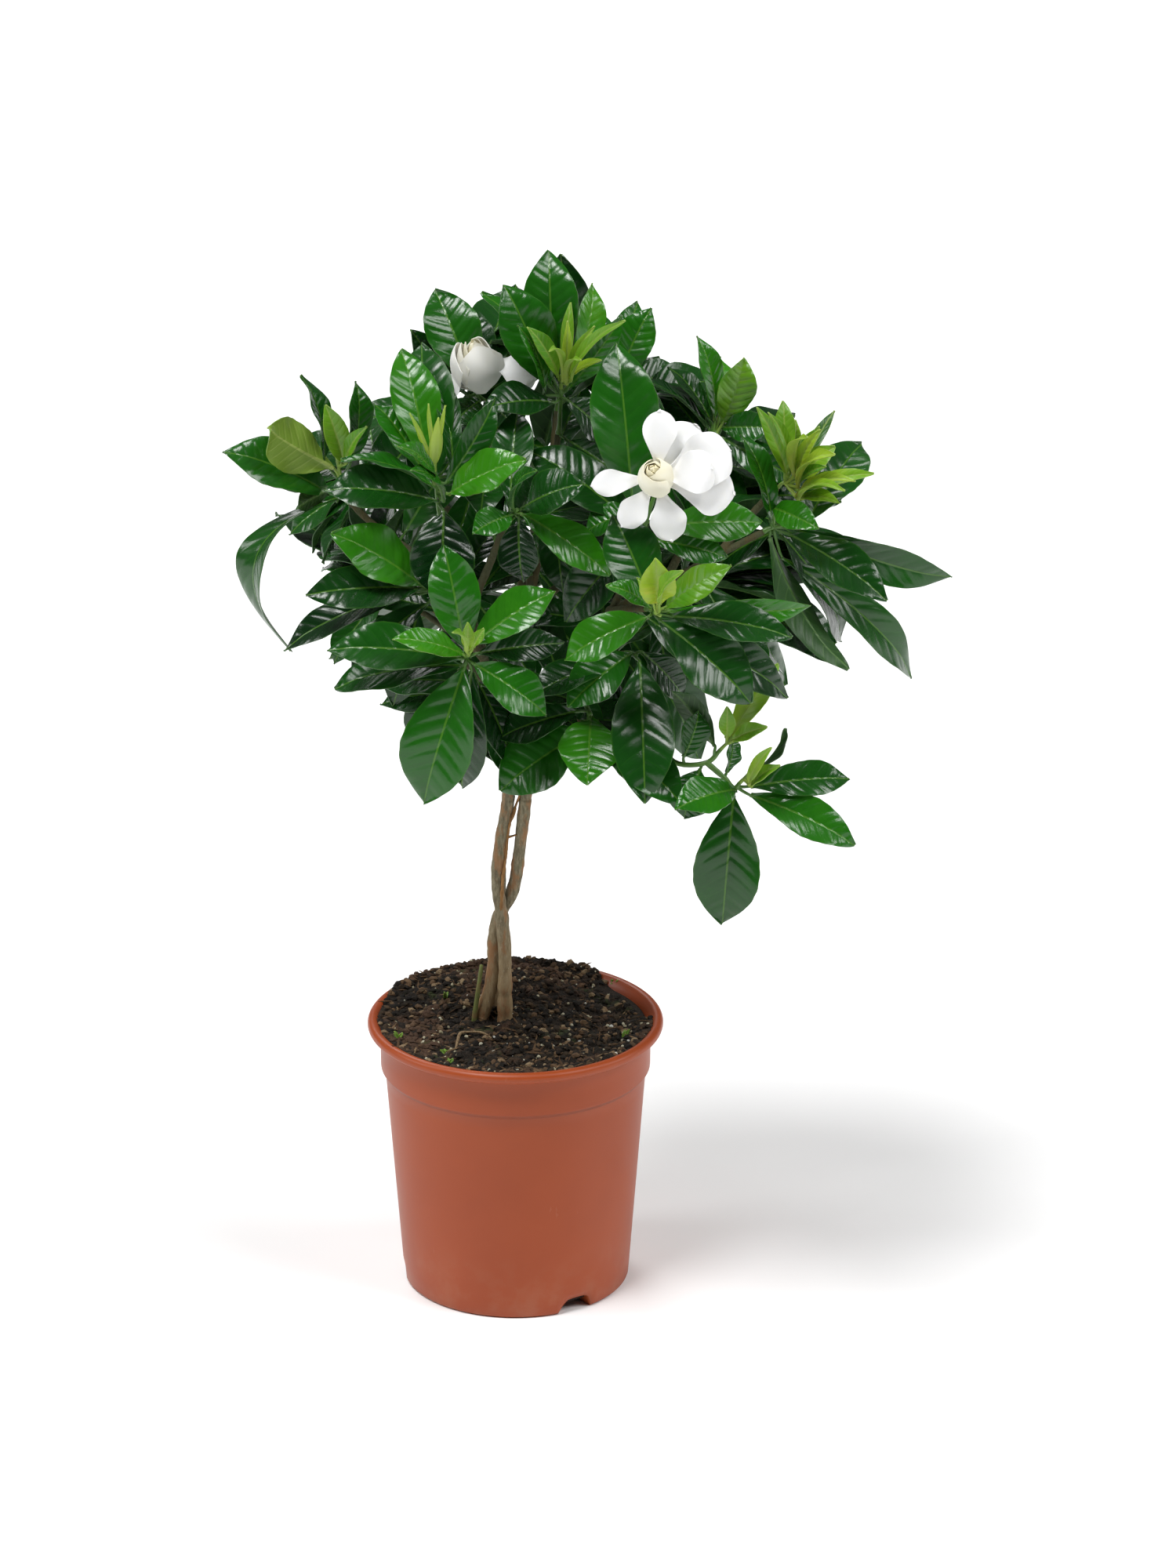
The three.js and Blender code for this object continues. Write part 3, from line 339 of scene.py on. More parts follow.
def spin(profile, sides):
    """A closed surface of revolution from (radius, height) points that start and end on the axis."""
    turns = np.linspace(0, 2 * math.pi, sides, endpoint=False) - math.pi / 2
    rings = profile[1:-1]
    points = [(0, 0, profile[0][1])]
    points += [(r * math.cos(a), r * math.sin(a), z) for r, z in rings for a in turns]
    points.append((0, 0, profile[-1][1]))
    faces = []
    for k in range(sides):
        n = (k + 1) % sides
        faces.append((0, 1 + n, 1 + k))
        for i in range(len(rings) - 1):
            a, b = 1 + i * sides, 1 + (i + 1) * sides
            faces.append((a + k, a + n, b + n, b + k))
        last = 1 + (len(rings) - 1) * sides
        faces.append((last + k, last + n, len(points) - 1))
    return np.array(points), faces


def pot_profile():
    """The pot's section: from the middle of its underside, up the outside, over the rim and down."""
    roll = RIM_ROLL / 2
    centre = (RIM_RADIUS - roll, POT_HEIGHT - roll)
    slope = (STEP_RADIUS - FOOT_RADIUS) / (STEP_Z - FOOT_Z)
    wall = [(FOOT_RADIUS + slope * (z - FOOT_Z), z) for z in np.linspace(FOOT_Z, STEP_Z - 0.6, 18)]
    bevel = [(0, 0), (0.6, 0.2), (2.6, 2.8), (3.4, FLOOR_UNDERSIDE)]
    pad = [(PAD_RADIUS + r, z) for r, z in bevel]
    ring = [(FOOT_RING_RADIUS - r, z) for r, z in bevel[::-1]]
    edge = arc((FOOT_EDGE, FOOT_ROUND), FOOT_ROUND, -84, -14, 5)
    foot = [(0, 0), *pad, *ring, (FOOT_EDGE - 0.3, 0), *edge]
    under_rim = centre[1] - roll
    band = [(STEP_RADIUS + 0.5, STEP_Z + 0.2), (BAND_RADIUS - 0.7, BAND_FOOT - 0.7),
            (BAND_RADIUS - 0.1, BAND_FOOT), (BAND_RADIUS, BAND_FOOT + 0.8),
            (BAND_RADIUS + 0.1, BAND_FOOT + 9), (BAND_RADIUS + 0.1, under_rim - 0.8),
            (BAND_RADIUS + 0.5, under_rim - 0.1), (BAND_RADIUS + 1.3, under_rim)]
    inside = [(BAND_RADIUS - WALL, centre[1] - 1), (BAND_RADIUS - WALL, BAND_FOOT + 1),
              (STEP_RADIUS - WALL, STEP_Z - 1), (FOOT_RADIUS - WALL, FOOT_Z),
              (FOOT_RADIUS - WALL - 3, FLOOR_TOP), (0, FLOOR_TOP)]
    return foot + wall + band + arc(centre, roll, -90, 150, 19) + inside


def cut_notches(points):
    """Lifts the foot ring over three arched notches, so that water can run out under the pot."""
    radius = np.hypot(points[:, 0], points[:, 1])
    turn = np.arctan2(points[:, 0], -points[:, 1])
    inner, middle, outer = NOTCH_RING
    for k in range(NOTCH_COUNT):
        off = turn - math.radians(NOTCH_TURN + 360 / NOTCH_COUNT * k)
        off = (off + math.pi) % (2 * math.pi) - math.pi
        across = np.abs(off * middle / NOTCH_HALF)
        lift = NOTCH_HEIGHT * np.sqrt(np.clip(1 - across ** 4, 0, 1)) * (radius > inner)
        low = (points[:, 2] < NOTCH_HEIGHT) & (radius < outer) & (across < 1)
        points[:, 2] = np.where(low, np.maximum(points[:, 2], lift), points[:, 2])
    return points


def drill_drains(pot):
    """Cuts the five round drain holes through the pot's floor."""
    cutter_mesh = bpy.data.meshes.new("drains")
    work = bmesh.new()
    for k in range(DRAIN_COUNT):
        turn = math.radians(DRAIN_TURN + 360 / DRAIN_COUNT * k) - math.pi / 2
        rod = bmesh.ops.create_cone(work, cap_ends=True, segments=28, radius1=DRAIN_RADIUS * MM,
                                    radius2=DRAIN_RADIUS * MM, depth=0.012)
        centre = (DRAIN_RING * MM * math.cos(turn), DRAIN_RING * MM * math.sin(turn), 0.004)
        bmesh.ops.translate(work, verts=rod["verts"], vec=centre)
    work.to_mesh(cutter_mesh)
    work.free()
    cutter = bpy.data.objects.new("drains", cutter_mesh)
    bpy.context.scene.collection.objects.link(cutter)
    cut = pot.modifiers.new("drains", "BOOLEAN")
    cut.object = cutter
    cut.solver = "EXACT"
    apply_modifiers(pot)
    bpy.data.objects.remove(cutter)


def apply_modifiers(made):
    """Turns what the modifiers make into the object's own mesh."""
    graph = bpy.context.evaluated_depsgraph_get()
    mesh = bpy.data.meshes.new_from_object(made.evaluated_get(graph))
    made.modifiers.clear()
    made.data = mesh


def pot_paint(at):
    clouds = at.grain(14, 4)
    pitting = at.grain(2600, 2)
    rubbed = at.grain(75, 6, 0.7, at.stretched((1, 1, 0.35))).between(0.56, 0.74)
    fine_rub = at.grain(420, 3, 0.6, at.stretched((1, 1, 0.2))).between(0.6, 0.72)
    scuff = rubbed * fine_rub
    height = at.place().parts()[2]
    low_dust = (1 - height.between(0.0, 0.05)) * at.grain(60, 5).between(0.4, 0.7)
    clay = clouds.ramp((0.3, (0.31, 0.05, 0.007)), (0.7, (0.35, 0.06, 0.01)))
    worn = (scuff * 0.42).mix(clay, (0.55, 0.27, 0.18, 1))
    dusty = (low_dust * 0.16).mix(worn, (0.42, 0.24, 0.15, 1))
    # A thin band at the step is painted darker: painted shade under the step's edge.
    step_shade = height.between(*STEP_SHADE_Z[:2]) * (1 - height.between(*STEP_SHADE_Z[2:]))
    return {
        "Base Color": (step_shade * 0.55).mix(dusty, (0.16, 0.03, 0.008, 1)),
        "Roughness": 0.34 + clouds * 0.12 + scuff * 0.2,
        "Normal": (pitting * 0.4 + clouds * 0.6).bump(0.00012, 0.5),
    }


pot_points, pot_faces = spin(pot_profile(), POT_TURNS)
clay_plastic = finish("clay_plastic", pot_paint, 0.4)
pot = make_object("nursery_pot", cut_notches(pot_points), pot_faces, [clay_plastic])
drill_drains(pot)
settle(pot, "pot", "pot")

# The root ball is moist peat with bark crumbs, fibres and white perlite. It fills the pot to under the
# rim and lies heaped towards the back left, where it hides the far side of the rim.
SOIL_LEVEL = 152
SOIL_CROWN = 3.5
SOIL_HEAP = 11
SOIL_RADIUS = 74.7
SOIL_RINGS = 60
SOIL_TURNS = 240
SOIL_GAP = 0.3
BRIM_RINGS = 6
BRIM_FRONT = 3.6
BRIM_BACK = 8.4


def ramp(start, end, value):
    """0 at start, 1 at end, and a smooth rise from one to the other."""
    t = np.clip((value - start) / (end - start), 0, 1)
    return t * t * (3 - 2 * t)


def soil_height(x, y):
    """The soil's main form: crowned, with a heap at the back left and low lumps."""
    r = np.hypot(x, y) / SOIL_RADIUS
    heap = ramp(-5, 62, y) * (1 - ramp(12, 58, x))
    lumps = 1.1 * np.sin(0.21 * x + 1.3) * np.cos(0.17 * y) + 0.7 * np.sin(0.47 * y - 0.31 * x)
    return SOIL_LEVEL + SOIL_CROWN * (1 - r * r) + SOIL_HEAP * heap * (1 - 0.42 * r ** 8) + lumps


def clods(x, y):
    """The crumbly relief on top of the soil's main form."""
    coarse = noise.fractal(Vector((x * 0.09, y * 0.09, 1.7)), 0.9, 2.1, 5)
    fine = noise.turbulence(Vector((x * 0.34, y * 0.34, 5.1)), 3, True)
    return 2.3 * coarse + 2.1 * fine - 1.2


def brim_share(x, y):
    """How far the soil lies up on the rim, and how far over it. The wall is bare at the back right."""
    turn = np.degrees(np.arctan2(x, -y))
    bare = ramp(88, 100, turn) * (1 - ramp(130, 144, turn))
    over = np.clip(ramp(138, 152, turn) + 1 - ramp(-126, -106, turn), 0, 1)
    return 1 - bare, over


def lip_height(r):
    """The height of the pot's lip at a radius."""
    roll = RIM_ROLL / 2
    bevel = POT_HEIGHT - roll - 1 + (r - BAND_RADIUS + WALL) * 0.77
    crest = POT_HEIGHT - roll + np.sqrt(np.clip(roll ** 2 - (r - RIM_RADIUS + roll) ** 2, 0, None))
    return np.where(r < RIM_RADIUS - roll * 1.87, bevel, crest)


def crumbly_top(x, y):
    """The soil's top: lumps and clods, banked up against the wall where it lies on the rim."""
    r = np.hypot(x, y)
    relief = np.array([clods(a, b) for a, b in zip(x, y)])
    z = soil_height(x, y) + relief * (0.3 + 0.7 * (1 - ramp(0.9, 1, r / SOIL_RADIUS)))
    banked = POT_HEIGHT - 5.2 + 2.8 * brim_share(x, y)[0]
    lift = np.maximum(banked - z, 0) * ramp(60, SOIL_RADIUS, r)
    return z + lift


def soil_surface():
    """The root ball: its tapered side, the soil that lies on the rim, and the crumbly top."""
    bottom = FLOOR_TOP + SOIL_GAP
    side = [(0, bottom), (FOOT_RADIUS - WALL - 3.6, bottom), (FOOT_RADIUS - WALL - 0.5, FOOT_Z),
            (STEP_RADIUS - WALL - 0.5, STEP_Z - 1.5), (SOIL_RADIUS, BAND_FOOT + 1.5),
            (SOIL_RADIUS, BAND_FOOT + 16)]
    top = [(SOIL_RADIUS * i / SOIL_RINGS, SOIL_LEVEL) for i in range(SOIL_RINGS, 0, -1)]
    points, faces = spin([*side, *[top[0]] * (2 * BRIM_RINGS), *top, (0, SOIL_LEVEL)], SOIL_TURNS)
    rows = points[1 + (len(side) - 1) * SOIL_TURNS:-1].reshape(-1, SOIL_TURNS, 3)
    flat = rows[2 * BRIM_RINGS:].reshape(-1, 3)
    flat[:, 2] = crumbly_top(flat[:, 0], flat[:, 1])
    rows[2 * BRIM_RINGS:] = flat.reshape(-1, SOIL_TURNS, 3)
    points[-1, 2] = SOIL_LEVEL + SOIL_CROWN
    edge = rows[2 * BRIM_RINGS].copy()
    on, over = brim_share(edge[:, 0], edge[:, 1])
    ragged = np.array([noise.fractal(Vector((x * 0.12, y * 0.12, 9)), 0.8, 2.1, 4) for x, y, _ in edge])
    reach = np.maximum(on * (BRIM_FRONT + (BRIM_BACK - BRIM_FRONT) * over + 1.1 * ragged), 0.3)
    for k in range(BRIM_RINGS):
        share = (k + 1) / BRIM_RINGS
        out = edge * (1 + reach * share / SOIL_RADIUS)[:, None]
        rest = on * (lip_height(SOIL_RADIUS + reach * share) + 0.15) + (1 - on) * (edge[:, 2] - 0.6)
        depth = 0.35 + on * math.sqrt(1 - share ** 2) * (0.9 + 0.5 * over + 0.7 * ragged)
        out[:, 2] = rest
        rows[k] = out
        out[:, 2] = rest + np.maximum(depth, 0.3)
        rows[2 * BRIM_RINGS - 1 - k] = out
    return points, faces


def peat_paint(at):
    damp = at.grain(70, 5, 0.65)
    crumbs = at.grain(900, 4, 0.7)
    fibre = at.grain(260, 4, 0.6, at.stretched((1, 0.3, 1)))
    peat = crumbs.ramp((0.3, (0.006, 0.005, 0.004)), (0.55, (0.022, 0.015, 0.01)),
                       (0.8, (0.1, 0.06, 0.034)))
    brown = damp.between(0.5, 0.7).mix(peat, (0.09, 0.05, 0.026, 1))
    mossy = at.grain(38, 5, 0.7).between(0.6, 0.68) * 0.5
    fibrous = (fibre.between(0.56, 0.66) * 0.45).mix(peat, brown)
    return {
        "Base Color": mossy.mix(fibrous, (0.05, 0.07, 0.02, 1)),
        "Roughness": 0.75 + damp * 0.2,
        "Normal": (crumbs + fibre * 0.5).bump(0.0012, 0.9),
    }


peat = finish("moist_peat", peat_paint, 0.3)
soil = settle(make_object("root_ball", *soil_surface(), [peat]), "soil", "soil")


def scatter_tree(name):
    """Nodes that strew grains over a surface's upper side, each turned, sized and tinted by chance."""
    tree = bpy.data.node_groups.new(name, "GeometryNodeTree")
    tree.interface.new_socket("Surface", in_out="INPUT", socket_type="NodeSocketGeometry")
    for title in ("Density", "Reach", "Brim", "Seed", "Smallest", "Largest", "Long", "Flat", "Ruggedness",
                  "Sink"):
        kind = "NodeSocketInt" if title == "Seed" else "NodeSocketFloat"
        tree.interface.new_socket(title, in_out="INPUT", socket_type=kind)
    tree.interface.new_socket("Finish", in_out="INPUT", socket_type="NodeSocketMaterial")
    tree.interface.new_socket("Grains", in_out="OUTPUT", socket_type="NodeSocketGeometry")
    entry = tree.nodes.new("NodeGroupInput")
    given = {socket.name: Field(tree, socket) for socket in entry.outputs if socket.name}
    at = Field(tree)
    facing = at.math("GREATER_THAN", at.node("GeometryNodeInputNormal").parts()[2], 0.2)
    position = at.node("GeometryNodeInputPosition")
    from_axis = at.vector("LENGTH", at.vector("MULTIPLY", position, (1.0, 1.0, 0.0)), out="Value")
    inside = at.math("LESS_THAN", from_axis, given["Reach"])
    on_rim = at.math("GREATER_THAN", position.parts()[2], given["Brim"])
    chosen = facing * at.math("MAXIMUM", inside, on_rim)
    spots = at.node("GeometryNodeDistributePointsOnFaces", None, {
        "Mesh": given["Surface"], "Selection": chosen, "Density": given["Density"],
        "Seed": given["Seed"]})
    sunk = at.node("GeometryNodeSetPosition", None, {
        "Geometry": spots, "Offset": at.node("ShaderNodeCombineXYZ", None, {"Z": given["Sink"] * -1.0})})
    ball = at.node("GeometryNodeMeshUVSphere", None, {"Segments": 6, "Rings": 4, "Radius": 1.0})
    dent = at.node("ShaderNodeTexNoise", None, {"Scale": 1.6, "Detail": 1.0}, out="Color")
    centred = at.vector("SUBTRACT", dent, (0.5, 0.5, 0.5))
    rough = at.node("ShaderNodeVectorMath", {"operation": "SCALE"}, {
        0: centred, "Scale": given["Ruggedness"]})
    grain = at.node("GeometryNodeSetPosition", None, {"Geometry": ball, "Offset": rough})
    size = at.chance(given["Seed"], given["Smallest"], given["Largest"])
    shape = at.node("ShaderNodeCombineXYZ", None, {
        0: size * given["Long"], 1: size, 2: size * given["Flat"]})
    turn = at.node("FunctionNodeRandomValue", {"data_type": "FLOAT_VECTOR"}, {
        0: (-0.5, -0.5, 0.0), 1: (0.5, 0.5, 6.28), "Seed": given["Seed"] + 7})
    strewn = at.node("GeometryNodeInstanceOnPoints", None, {
        "Points": sunk, "Instance": grain, "Rotation": turn, "Scale": shape})
    marked = at.node("GeometryNodeStoreNamedAttribute", {"domain": "INSTANCE", "data_type": "FLOAT"}, {
        "Geometry": strewn, "Name": "tint", "Value": at.chance(given["Seed"] + 3)})
    whole = at.node("GeometryNodeRealizeInstances", None, {"Geometry": marked})
    dressed = at.node("GeometryNodeSetMaterial", None, {"Geometry": whole, "Material": given["Finish"]})
    leave = tree.nodes.new("NodeGroupOutput")
    tree.links.new(leave.inputs[0], dressed.socket)
    return tree


def strew(name, tree, surface, grain_finish, sizes):
    """Runs the scatter on a surface and keeps the grains as a plain mesh of their own."""
    made = surface.modifiers.new(name, "NODES")
    made.node_group = tree
    for item in tree.interface.items_tree:
        if item.name in sizes:
            made[item.identifier] = sizes[item.name]
        if item.name == "Finish":
            made[item.identifier] = grain_finish
    graph = bpy.context.evaluated_depsgraph_get()
    mesh = bpy.data.meshes.new_from_object(surface.evaluated_get(graph))
    surface.modifiers.remove(made)
    mesh.name = name
    grains = bpy.data.objects.new(name, mesh)
    bpy.context.scene.collection.objects.link(grains)
    return grains


def crumb_paint(at):
    tint = at.mark("tint", "Fac")
    speck = at.grain(1500, 3)
    hue = tint.ramp((0.0, (0.006, 0.005, 0.004)), (0.5, (0.02, 0.014, 0.009)),
                    (0.74, (0.06, 0.038, 0.02)), (0.9, (0.2, 0.115, 0.058)), (1.0, (0.42, 0.3, 0.17)))
    rusty = (at.grain(26, 4, 0.6).between(0.5, 0.6) * 0.75).mix(hue, (0.13, 0.07, 0.042, 1))
    mossy = (at.grain(38, 5, 0.7).between(0.58, 0.66) * 0.55).mix(rusty, (0.06, 0.085, 0.022, 1))
    return {"Base Color": (speck * 0.6).mix(mossy, (0.01, 0.008, 0.006, 1)),
            "Roughness": 0.7 + speck * 0.25, "Normal": speck.bump(0.0006)}


def fibre_paint(at):
    tint = at.mark("tint", "Fac")
    speck = at.grain(1100, 3)
    hue = tint.ramp((0.0, (0.05, 0.026, 0.013)), (0.6, (0.13, 0.075, 0.038)), (1.0, (0.26, 0.17, 0.09)))
    return {"Base Color": (speck * 0.4).mix(hue, (0.05, 0.03, 0.015, 1)),
            "Roughness": 0.75 + speck * 0.2, "Normal": speck.bump(0.0004)}


def perlite_paint(at):
    tint = at.mark("tint", "Fac")
    pores = at.cells(2400)
    hue = tint.ramp((0.0, (0.3, 0.25, 0.14)), (0.4, (0.6, 0.55, 0.38)), (0.75, (0.75, 0.72, 0.55)),
                    (1.0, (0.9, 0.9, 0.84)))
    return {"Base Color": (pores * 0.35).mix(hue, (0.4, 0.36, 0.26, 1)),
            "Roughness": 0.8 + pores * 0.1, "Normal": pores.bump(0.0005)}


# What lies on the soil: the name, colours and shine of each, and its scatter in metres.
STREWN = [
    ("peat_crumbs", "peat_crumb", crumb_paint, 0.25, {
        "Density": 145000.0, "Reach": 0.0705, "Brim": 0.1568, "Seed": 11, "Smallest": 0.0005,
        "Largest": 0.0024, "Long": 1.3, "Flat": 0.7, "Ruggedness": 1.3, "Sink": 0.0002}),
    ("bark_fibres", "bark_fibre", fibre_paint, 0.25, {
        "Density": 15000.0, "Reach": 0.07, "Brim": 0.1568, "Seed": 23, "Smallest": 0.0004,
        "Largest": 0.0009, "Long": 5.5, "Flat": 0.6, "Ruggedness": 0.9, "Sink": -0.0003}),
    ("perlite_grains", "perlite", perlite_paint, 0.3, {
        "Density": 9500.0, "Reach": 0.072, "Brim": 0.1575, "Seed": 37, "Smallest": 0.0002,
        "Largest": 0.0012, "Long": 1.1, "Flat": 0.85, "Ruggedness": 0.9, "Sink": -0.0006}),
]
scatter = scatter_tree("soil_scatter")
for name, matter, paint, shine, sizes in STREWN:
    settle(strew(name, scatter, soil, finish(matter, paint, shine), sizes), "soil")

# The trunk is three young gardenia stems, braided together as they grew, with thin grey-brown bark.
# Each carries its own limbs. A slim green shoot stands beside them, and all are rooted in the peat.
STRAND_RADIUS = {"left": 3.55, "right": 3.55, "back": 3.195}
STRAND_SIDES = 18
STRAND_STEPS = 90
FORK_RADIUS = 2.5
LIMB_SIDES = 12
SHOOT_RADIUS = 1.7
STEM_FOOT_Z = 124
STRANDS = {
    "left": [(-6, 148, 6), (-6, 160, 5), (-6, 176, 4), (-6.3, 190, 3.5), (-7.4, 200, 3), (-8.2, 208, 2.5),
             (-9.6, 217, 4), (-10.4, 227, 5.5), (-9.2, 240, 6), (-8, 250, 6), (-6, 261, 6),
             (-4, 272, 6)],
    "right": [(-19.5, 148, 8), (-16, 158, 8), (-13.4, 168, 8.5), (-12.4, 182, 9), (-12.3, 194, 9.5),
              (-10.6, 201, 10), (-8.2, 208, 10.3), (-4, 214, 9), (-0.4, 224, 7.5), (1.4, 236, 6.5),
              (3.2, 250, 6), (4.5, 261, 6), (5.6, 272, 6)],
    "back": [(-12.5, 148, 19), (-11, 164, 18), (-9.5, 182, 17), (-8.6, 196, 17.5), (-8.2, 208, 18),
             (-8.6, 222, 16.5), (-8.6, 236, 15), (-7.4, 250, 14.5), (-5.4, 262, 14.5),
             (-3.4, 274, 14.5)],
}
SIDE_STEM = [(-25.5, 128, 2), (-23.6, 146, 3), (-21.4, 162, 3.5), (-19.4, 177, 4)]
# A limb is the stem that bears it, the shoot that it carries, and its bends as (x, y, height over rim).
LIMBS = [
    ("left", "left_bud", [(-3.9, 6, 133), (-3, 5, 162), (-10, -2, 192), (-17, -14, 228), (-23, -24, 262),
                          (-33, -38, 296), (-39, -51, 322)]),
    ("left", "front_low_left", [(-10, -2, 192), (-14, -27, 214), (-21, -58, 235), (-26, -80, 248)]),
    ("left", "left_mid", [(-17, -14, 228), (-30, -36, 256), (-41, -57, 276)]),
    ("left", "far_left", [(-23, -24, 262), (-50, -18, 286), (-76, -13, 304), (-90, -11, 317)]),
    ("left", "centre_mid", [(-23, -24, 262), (-12, -42, 294), (-4, -58, 322)]),
    ("left", "left_inner", [(-17, -14, 228), (-38, 2, 244), (-62, 14, 260)]),
    ("right", "bloom_open", [(5.6, 6, 133), (11, 4, 162), (22, -3, 192), (38, -15, 226), (54, -30, 260),
                             (64, -44, 288), (70, -55, 310)]),
    ("right", "dangling", [(22, -3, 192), (44, -38, 192), (66, -68, 197), (78, -84, 200)]),
    ("right", "centre_hang", [(22, -3, 192), (29, -30, 206), (37, -52, 216)]),
    ("right", "centre_low", [(38, -15, 226), (52, -34, 236), (62, -48, 242)]),
    ("right", "front_low_right", [(54, -30, 260), (64, -58, 272), (73, -86, 282)]),
    ("right", "right_low", [(54, -30, 260), (84, -28, 276), (114, -25, 292), (138, -22, 304)]),
    ("right", "right_new", [(114, -25, 292), (134, -14, 314), (146, -12, 326)]),
    ("right", "right_back", [(84, -28, 276), (98, 0, 298), (109, 30, 322)]),
    ("right", "right_inner", [(38, -15, 226), (66, 4, 242), (92, 16, 256)]),
    ("back", "top", [(-3.4, 14.5, 132), (-2, 16, 162), (2, 24, 200), (8, 30, 240), (15, 26, 280),
    (21, 16, 320),
                     (25, 5, 352)]),
    ("back", "bloom_half", [(8, 30, 240), (-2, 30, 280), (-13, 24, 328), (-20, 16, 368)]),
    ("back", "back_left_low", [(2, 24, 200), (-26, 34, 218), (-54, 44, 234)]),
    ("back", "back_left", [(-2, 30, 280), (-34, 44, 292), (-66, 56, 306)]),
    ("back", "back_left_high", [(-2, 30, 280), (-20, 50, 314), (-34, 60, 344)]),
    ("back", "back_mid_low", [(2, 24, 200), (2, 48, 218), (2, 70, 232)]),
    ("back", "back_mid", [(8, 30, 240), (10, 60, 266), (12, 86, 288)]),
    ("back", "back_high", [(15, 26, 280), (20, 44, 314), (24, 56, 348)]),
    ("back", "back_right_low", [(2, 24, 200), (34, 42, 220), (62, 62, 238)]),
    ("back", "back_right", [(8, 30, 240), (46, 50, 262), (84, 68, 280)]),
    ("back", "top_right", [(15, 26, 280), (36, 36, 316), (52, 42, 352)]),
]


def smooth(points, count):
    """Points along a centripetal curve through the given ones."""
    points = [np.asarray(p, float) for p in points]
    ends = [2 * points[0] - points[1], *points, 2 * points[-1] - points[-2]]
    made = []
    for i in range(count + 1):
        whole = (len(points) - 1) * i / count
        k = min(int(whole), len(points) - 2)
        w = whole - k
        p0, p1, p2, p3 = ends[k:k + 4]
        d0, d1, d2 = (max(np.dot(b - a, b - a) ** 0.25, 1e-4) for a, b in ((p0, p1), (p1, p2), (p2, p3)))
        m1 = ((p1 - p0) / d0 - (p2 - p0) / (d0 + d1) + (p2 - p1) / d1) * d1
        m2 = ((p2 - p1) / d1 - (p3 - p1) / (d1 + d2) + (p3 - p2) / d2) * d1
        bend = 3 * (p2 - p1) - 2 * m1 - m2
        twist = 2 * (p1 - p2) + m1 + m2
        made.append(p1 + m1 * w + bend * w ** 2 + twist * w ** 3)
    return made


def unit(vector):
    return vector / np.linalg.norm(vector)


def tube(points, radii, sides):
    """A closed round rod through the given points, domed at both ends."""
    points = np.array(points, float)
    along = np.gradient(points, axis=0)
    side = np.cross([0.31, 0.87, 0.38], along[0])
    turns = np.linspace(0, 2 * math.pi, sides, endpoint=False)
    rings = []
    for i, centre in enumerate(points):
        axis = unit(along[i])
        side = unit(side - axis * np.dot(side, axis))
        other = np.cross(axis, side)
        rings += [centre + radii[i] * (side * math.cos(a) + other * math.sin(a)) for a in turns]
    faces = []
    for i in range(len(points) - 1):
        for k in range(sides):
            a, b = i * sides + k, i * sides + (k + 1) % sides
            faces.append((a, b, b + sides, a + sides))
    tips = [points[0] - unit(along[0]) * radii[0] * 0.5, points[-1] + unit(along[-1]) * radii[-1] * 0.5]
    last, count = (len(points) - 1) * sides, len(rings)
    for k in range(sides):
        n = (k + 1) % sides
        faces.append((count, n, k))
        faces.append((count + 1, last + k, last + n))
    return np.array(rings + tips), faces


def merge(shapes):
    """One list of points and of faces from several."""
    points, faces, start = [], [], 0
    for more, theirs in shapes:
        points.append(more)
        faces += [tuple(start + i for i in face) for face in theirs]
        start += len(more)
    return np.concatenate(points), faces


def strand_path(name):
    """The line of a strand, from its foot in the soil to where it becomes its first limb."""
    places = [seen(*p) for p in STRANDS[name]]
    foot = places[0] + unit(places[0] - places[1]) * 12
    foot[2] = STEM_FOOT_Z
    return [foot, *smooth(places, len(places))]


def limb_path(points):
    """The places of a limb's bends."""
    return [np.array([x, y, RIM_Z + height], float) for x, y, height in points]


def knobbly(path, radii, swell, scale):
    """Radii that swell and shrink a little along the path, with a knot here and there."""
    made = []
    for point, radius in zip(path, radii):
        knot = max(noise.noise(Vector(point) * scale) - 0.12, 0)
        made.append(radius * (1 + swell * noise.noise(Vector(point) * scale * 2.3) + 1.4 * swell * knot))
    return made


def stem_shape(name):
    """A strand of the braid, thick at its foot, and every limb that forks off it."""
    full = STRAND_RADIUS[name]
    path = smooth(strand_path(name), STRAND_STEPS)
    radii = [full * (1.02 + 0.12 * float(1 - ramp(160, 200, z)) + 0.16 * float(1 - ramp(150, 172, z)))
             for _, _, z in path]
    shapes = [tube(path, knobbly(path, radii, 0.16, 0.09), STRAND_SIDES)]
    first = True
    for wood, _, bends in LIMBS:
        if wood != name:
            continue
        way = smooth(limb_path(bends), 12 * len(bends))
        thick = full * 0.95 if first else FORK_RADIUS
        radii = np.linspace(thick, SHOOT_RADIUS, len(way))
        if not first:
            radii[:6] *= np.linspace(1.3, 1, 6)
        shapes.append(tube(way, knobbly(way, radii, 0.12, 0.16), LIMB_SIDES))
        first = False
    return roughen(*merge(shapes))


def roughen(points, faces):
    """Presses fine furrows, longer than wide, into the bark."""
    made = []
    for p in points:
        furrow = noise.fractal(Vector((p[0] * 0.9, p[1] * 0.9, p[2] * 0.16)), 0.8, 2.2, 3)
        made.append([p[0] + 0.16 * furrow, p[1] - 0.16 * furrow, p[2]])
    return np.array(made), faces


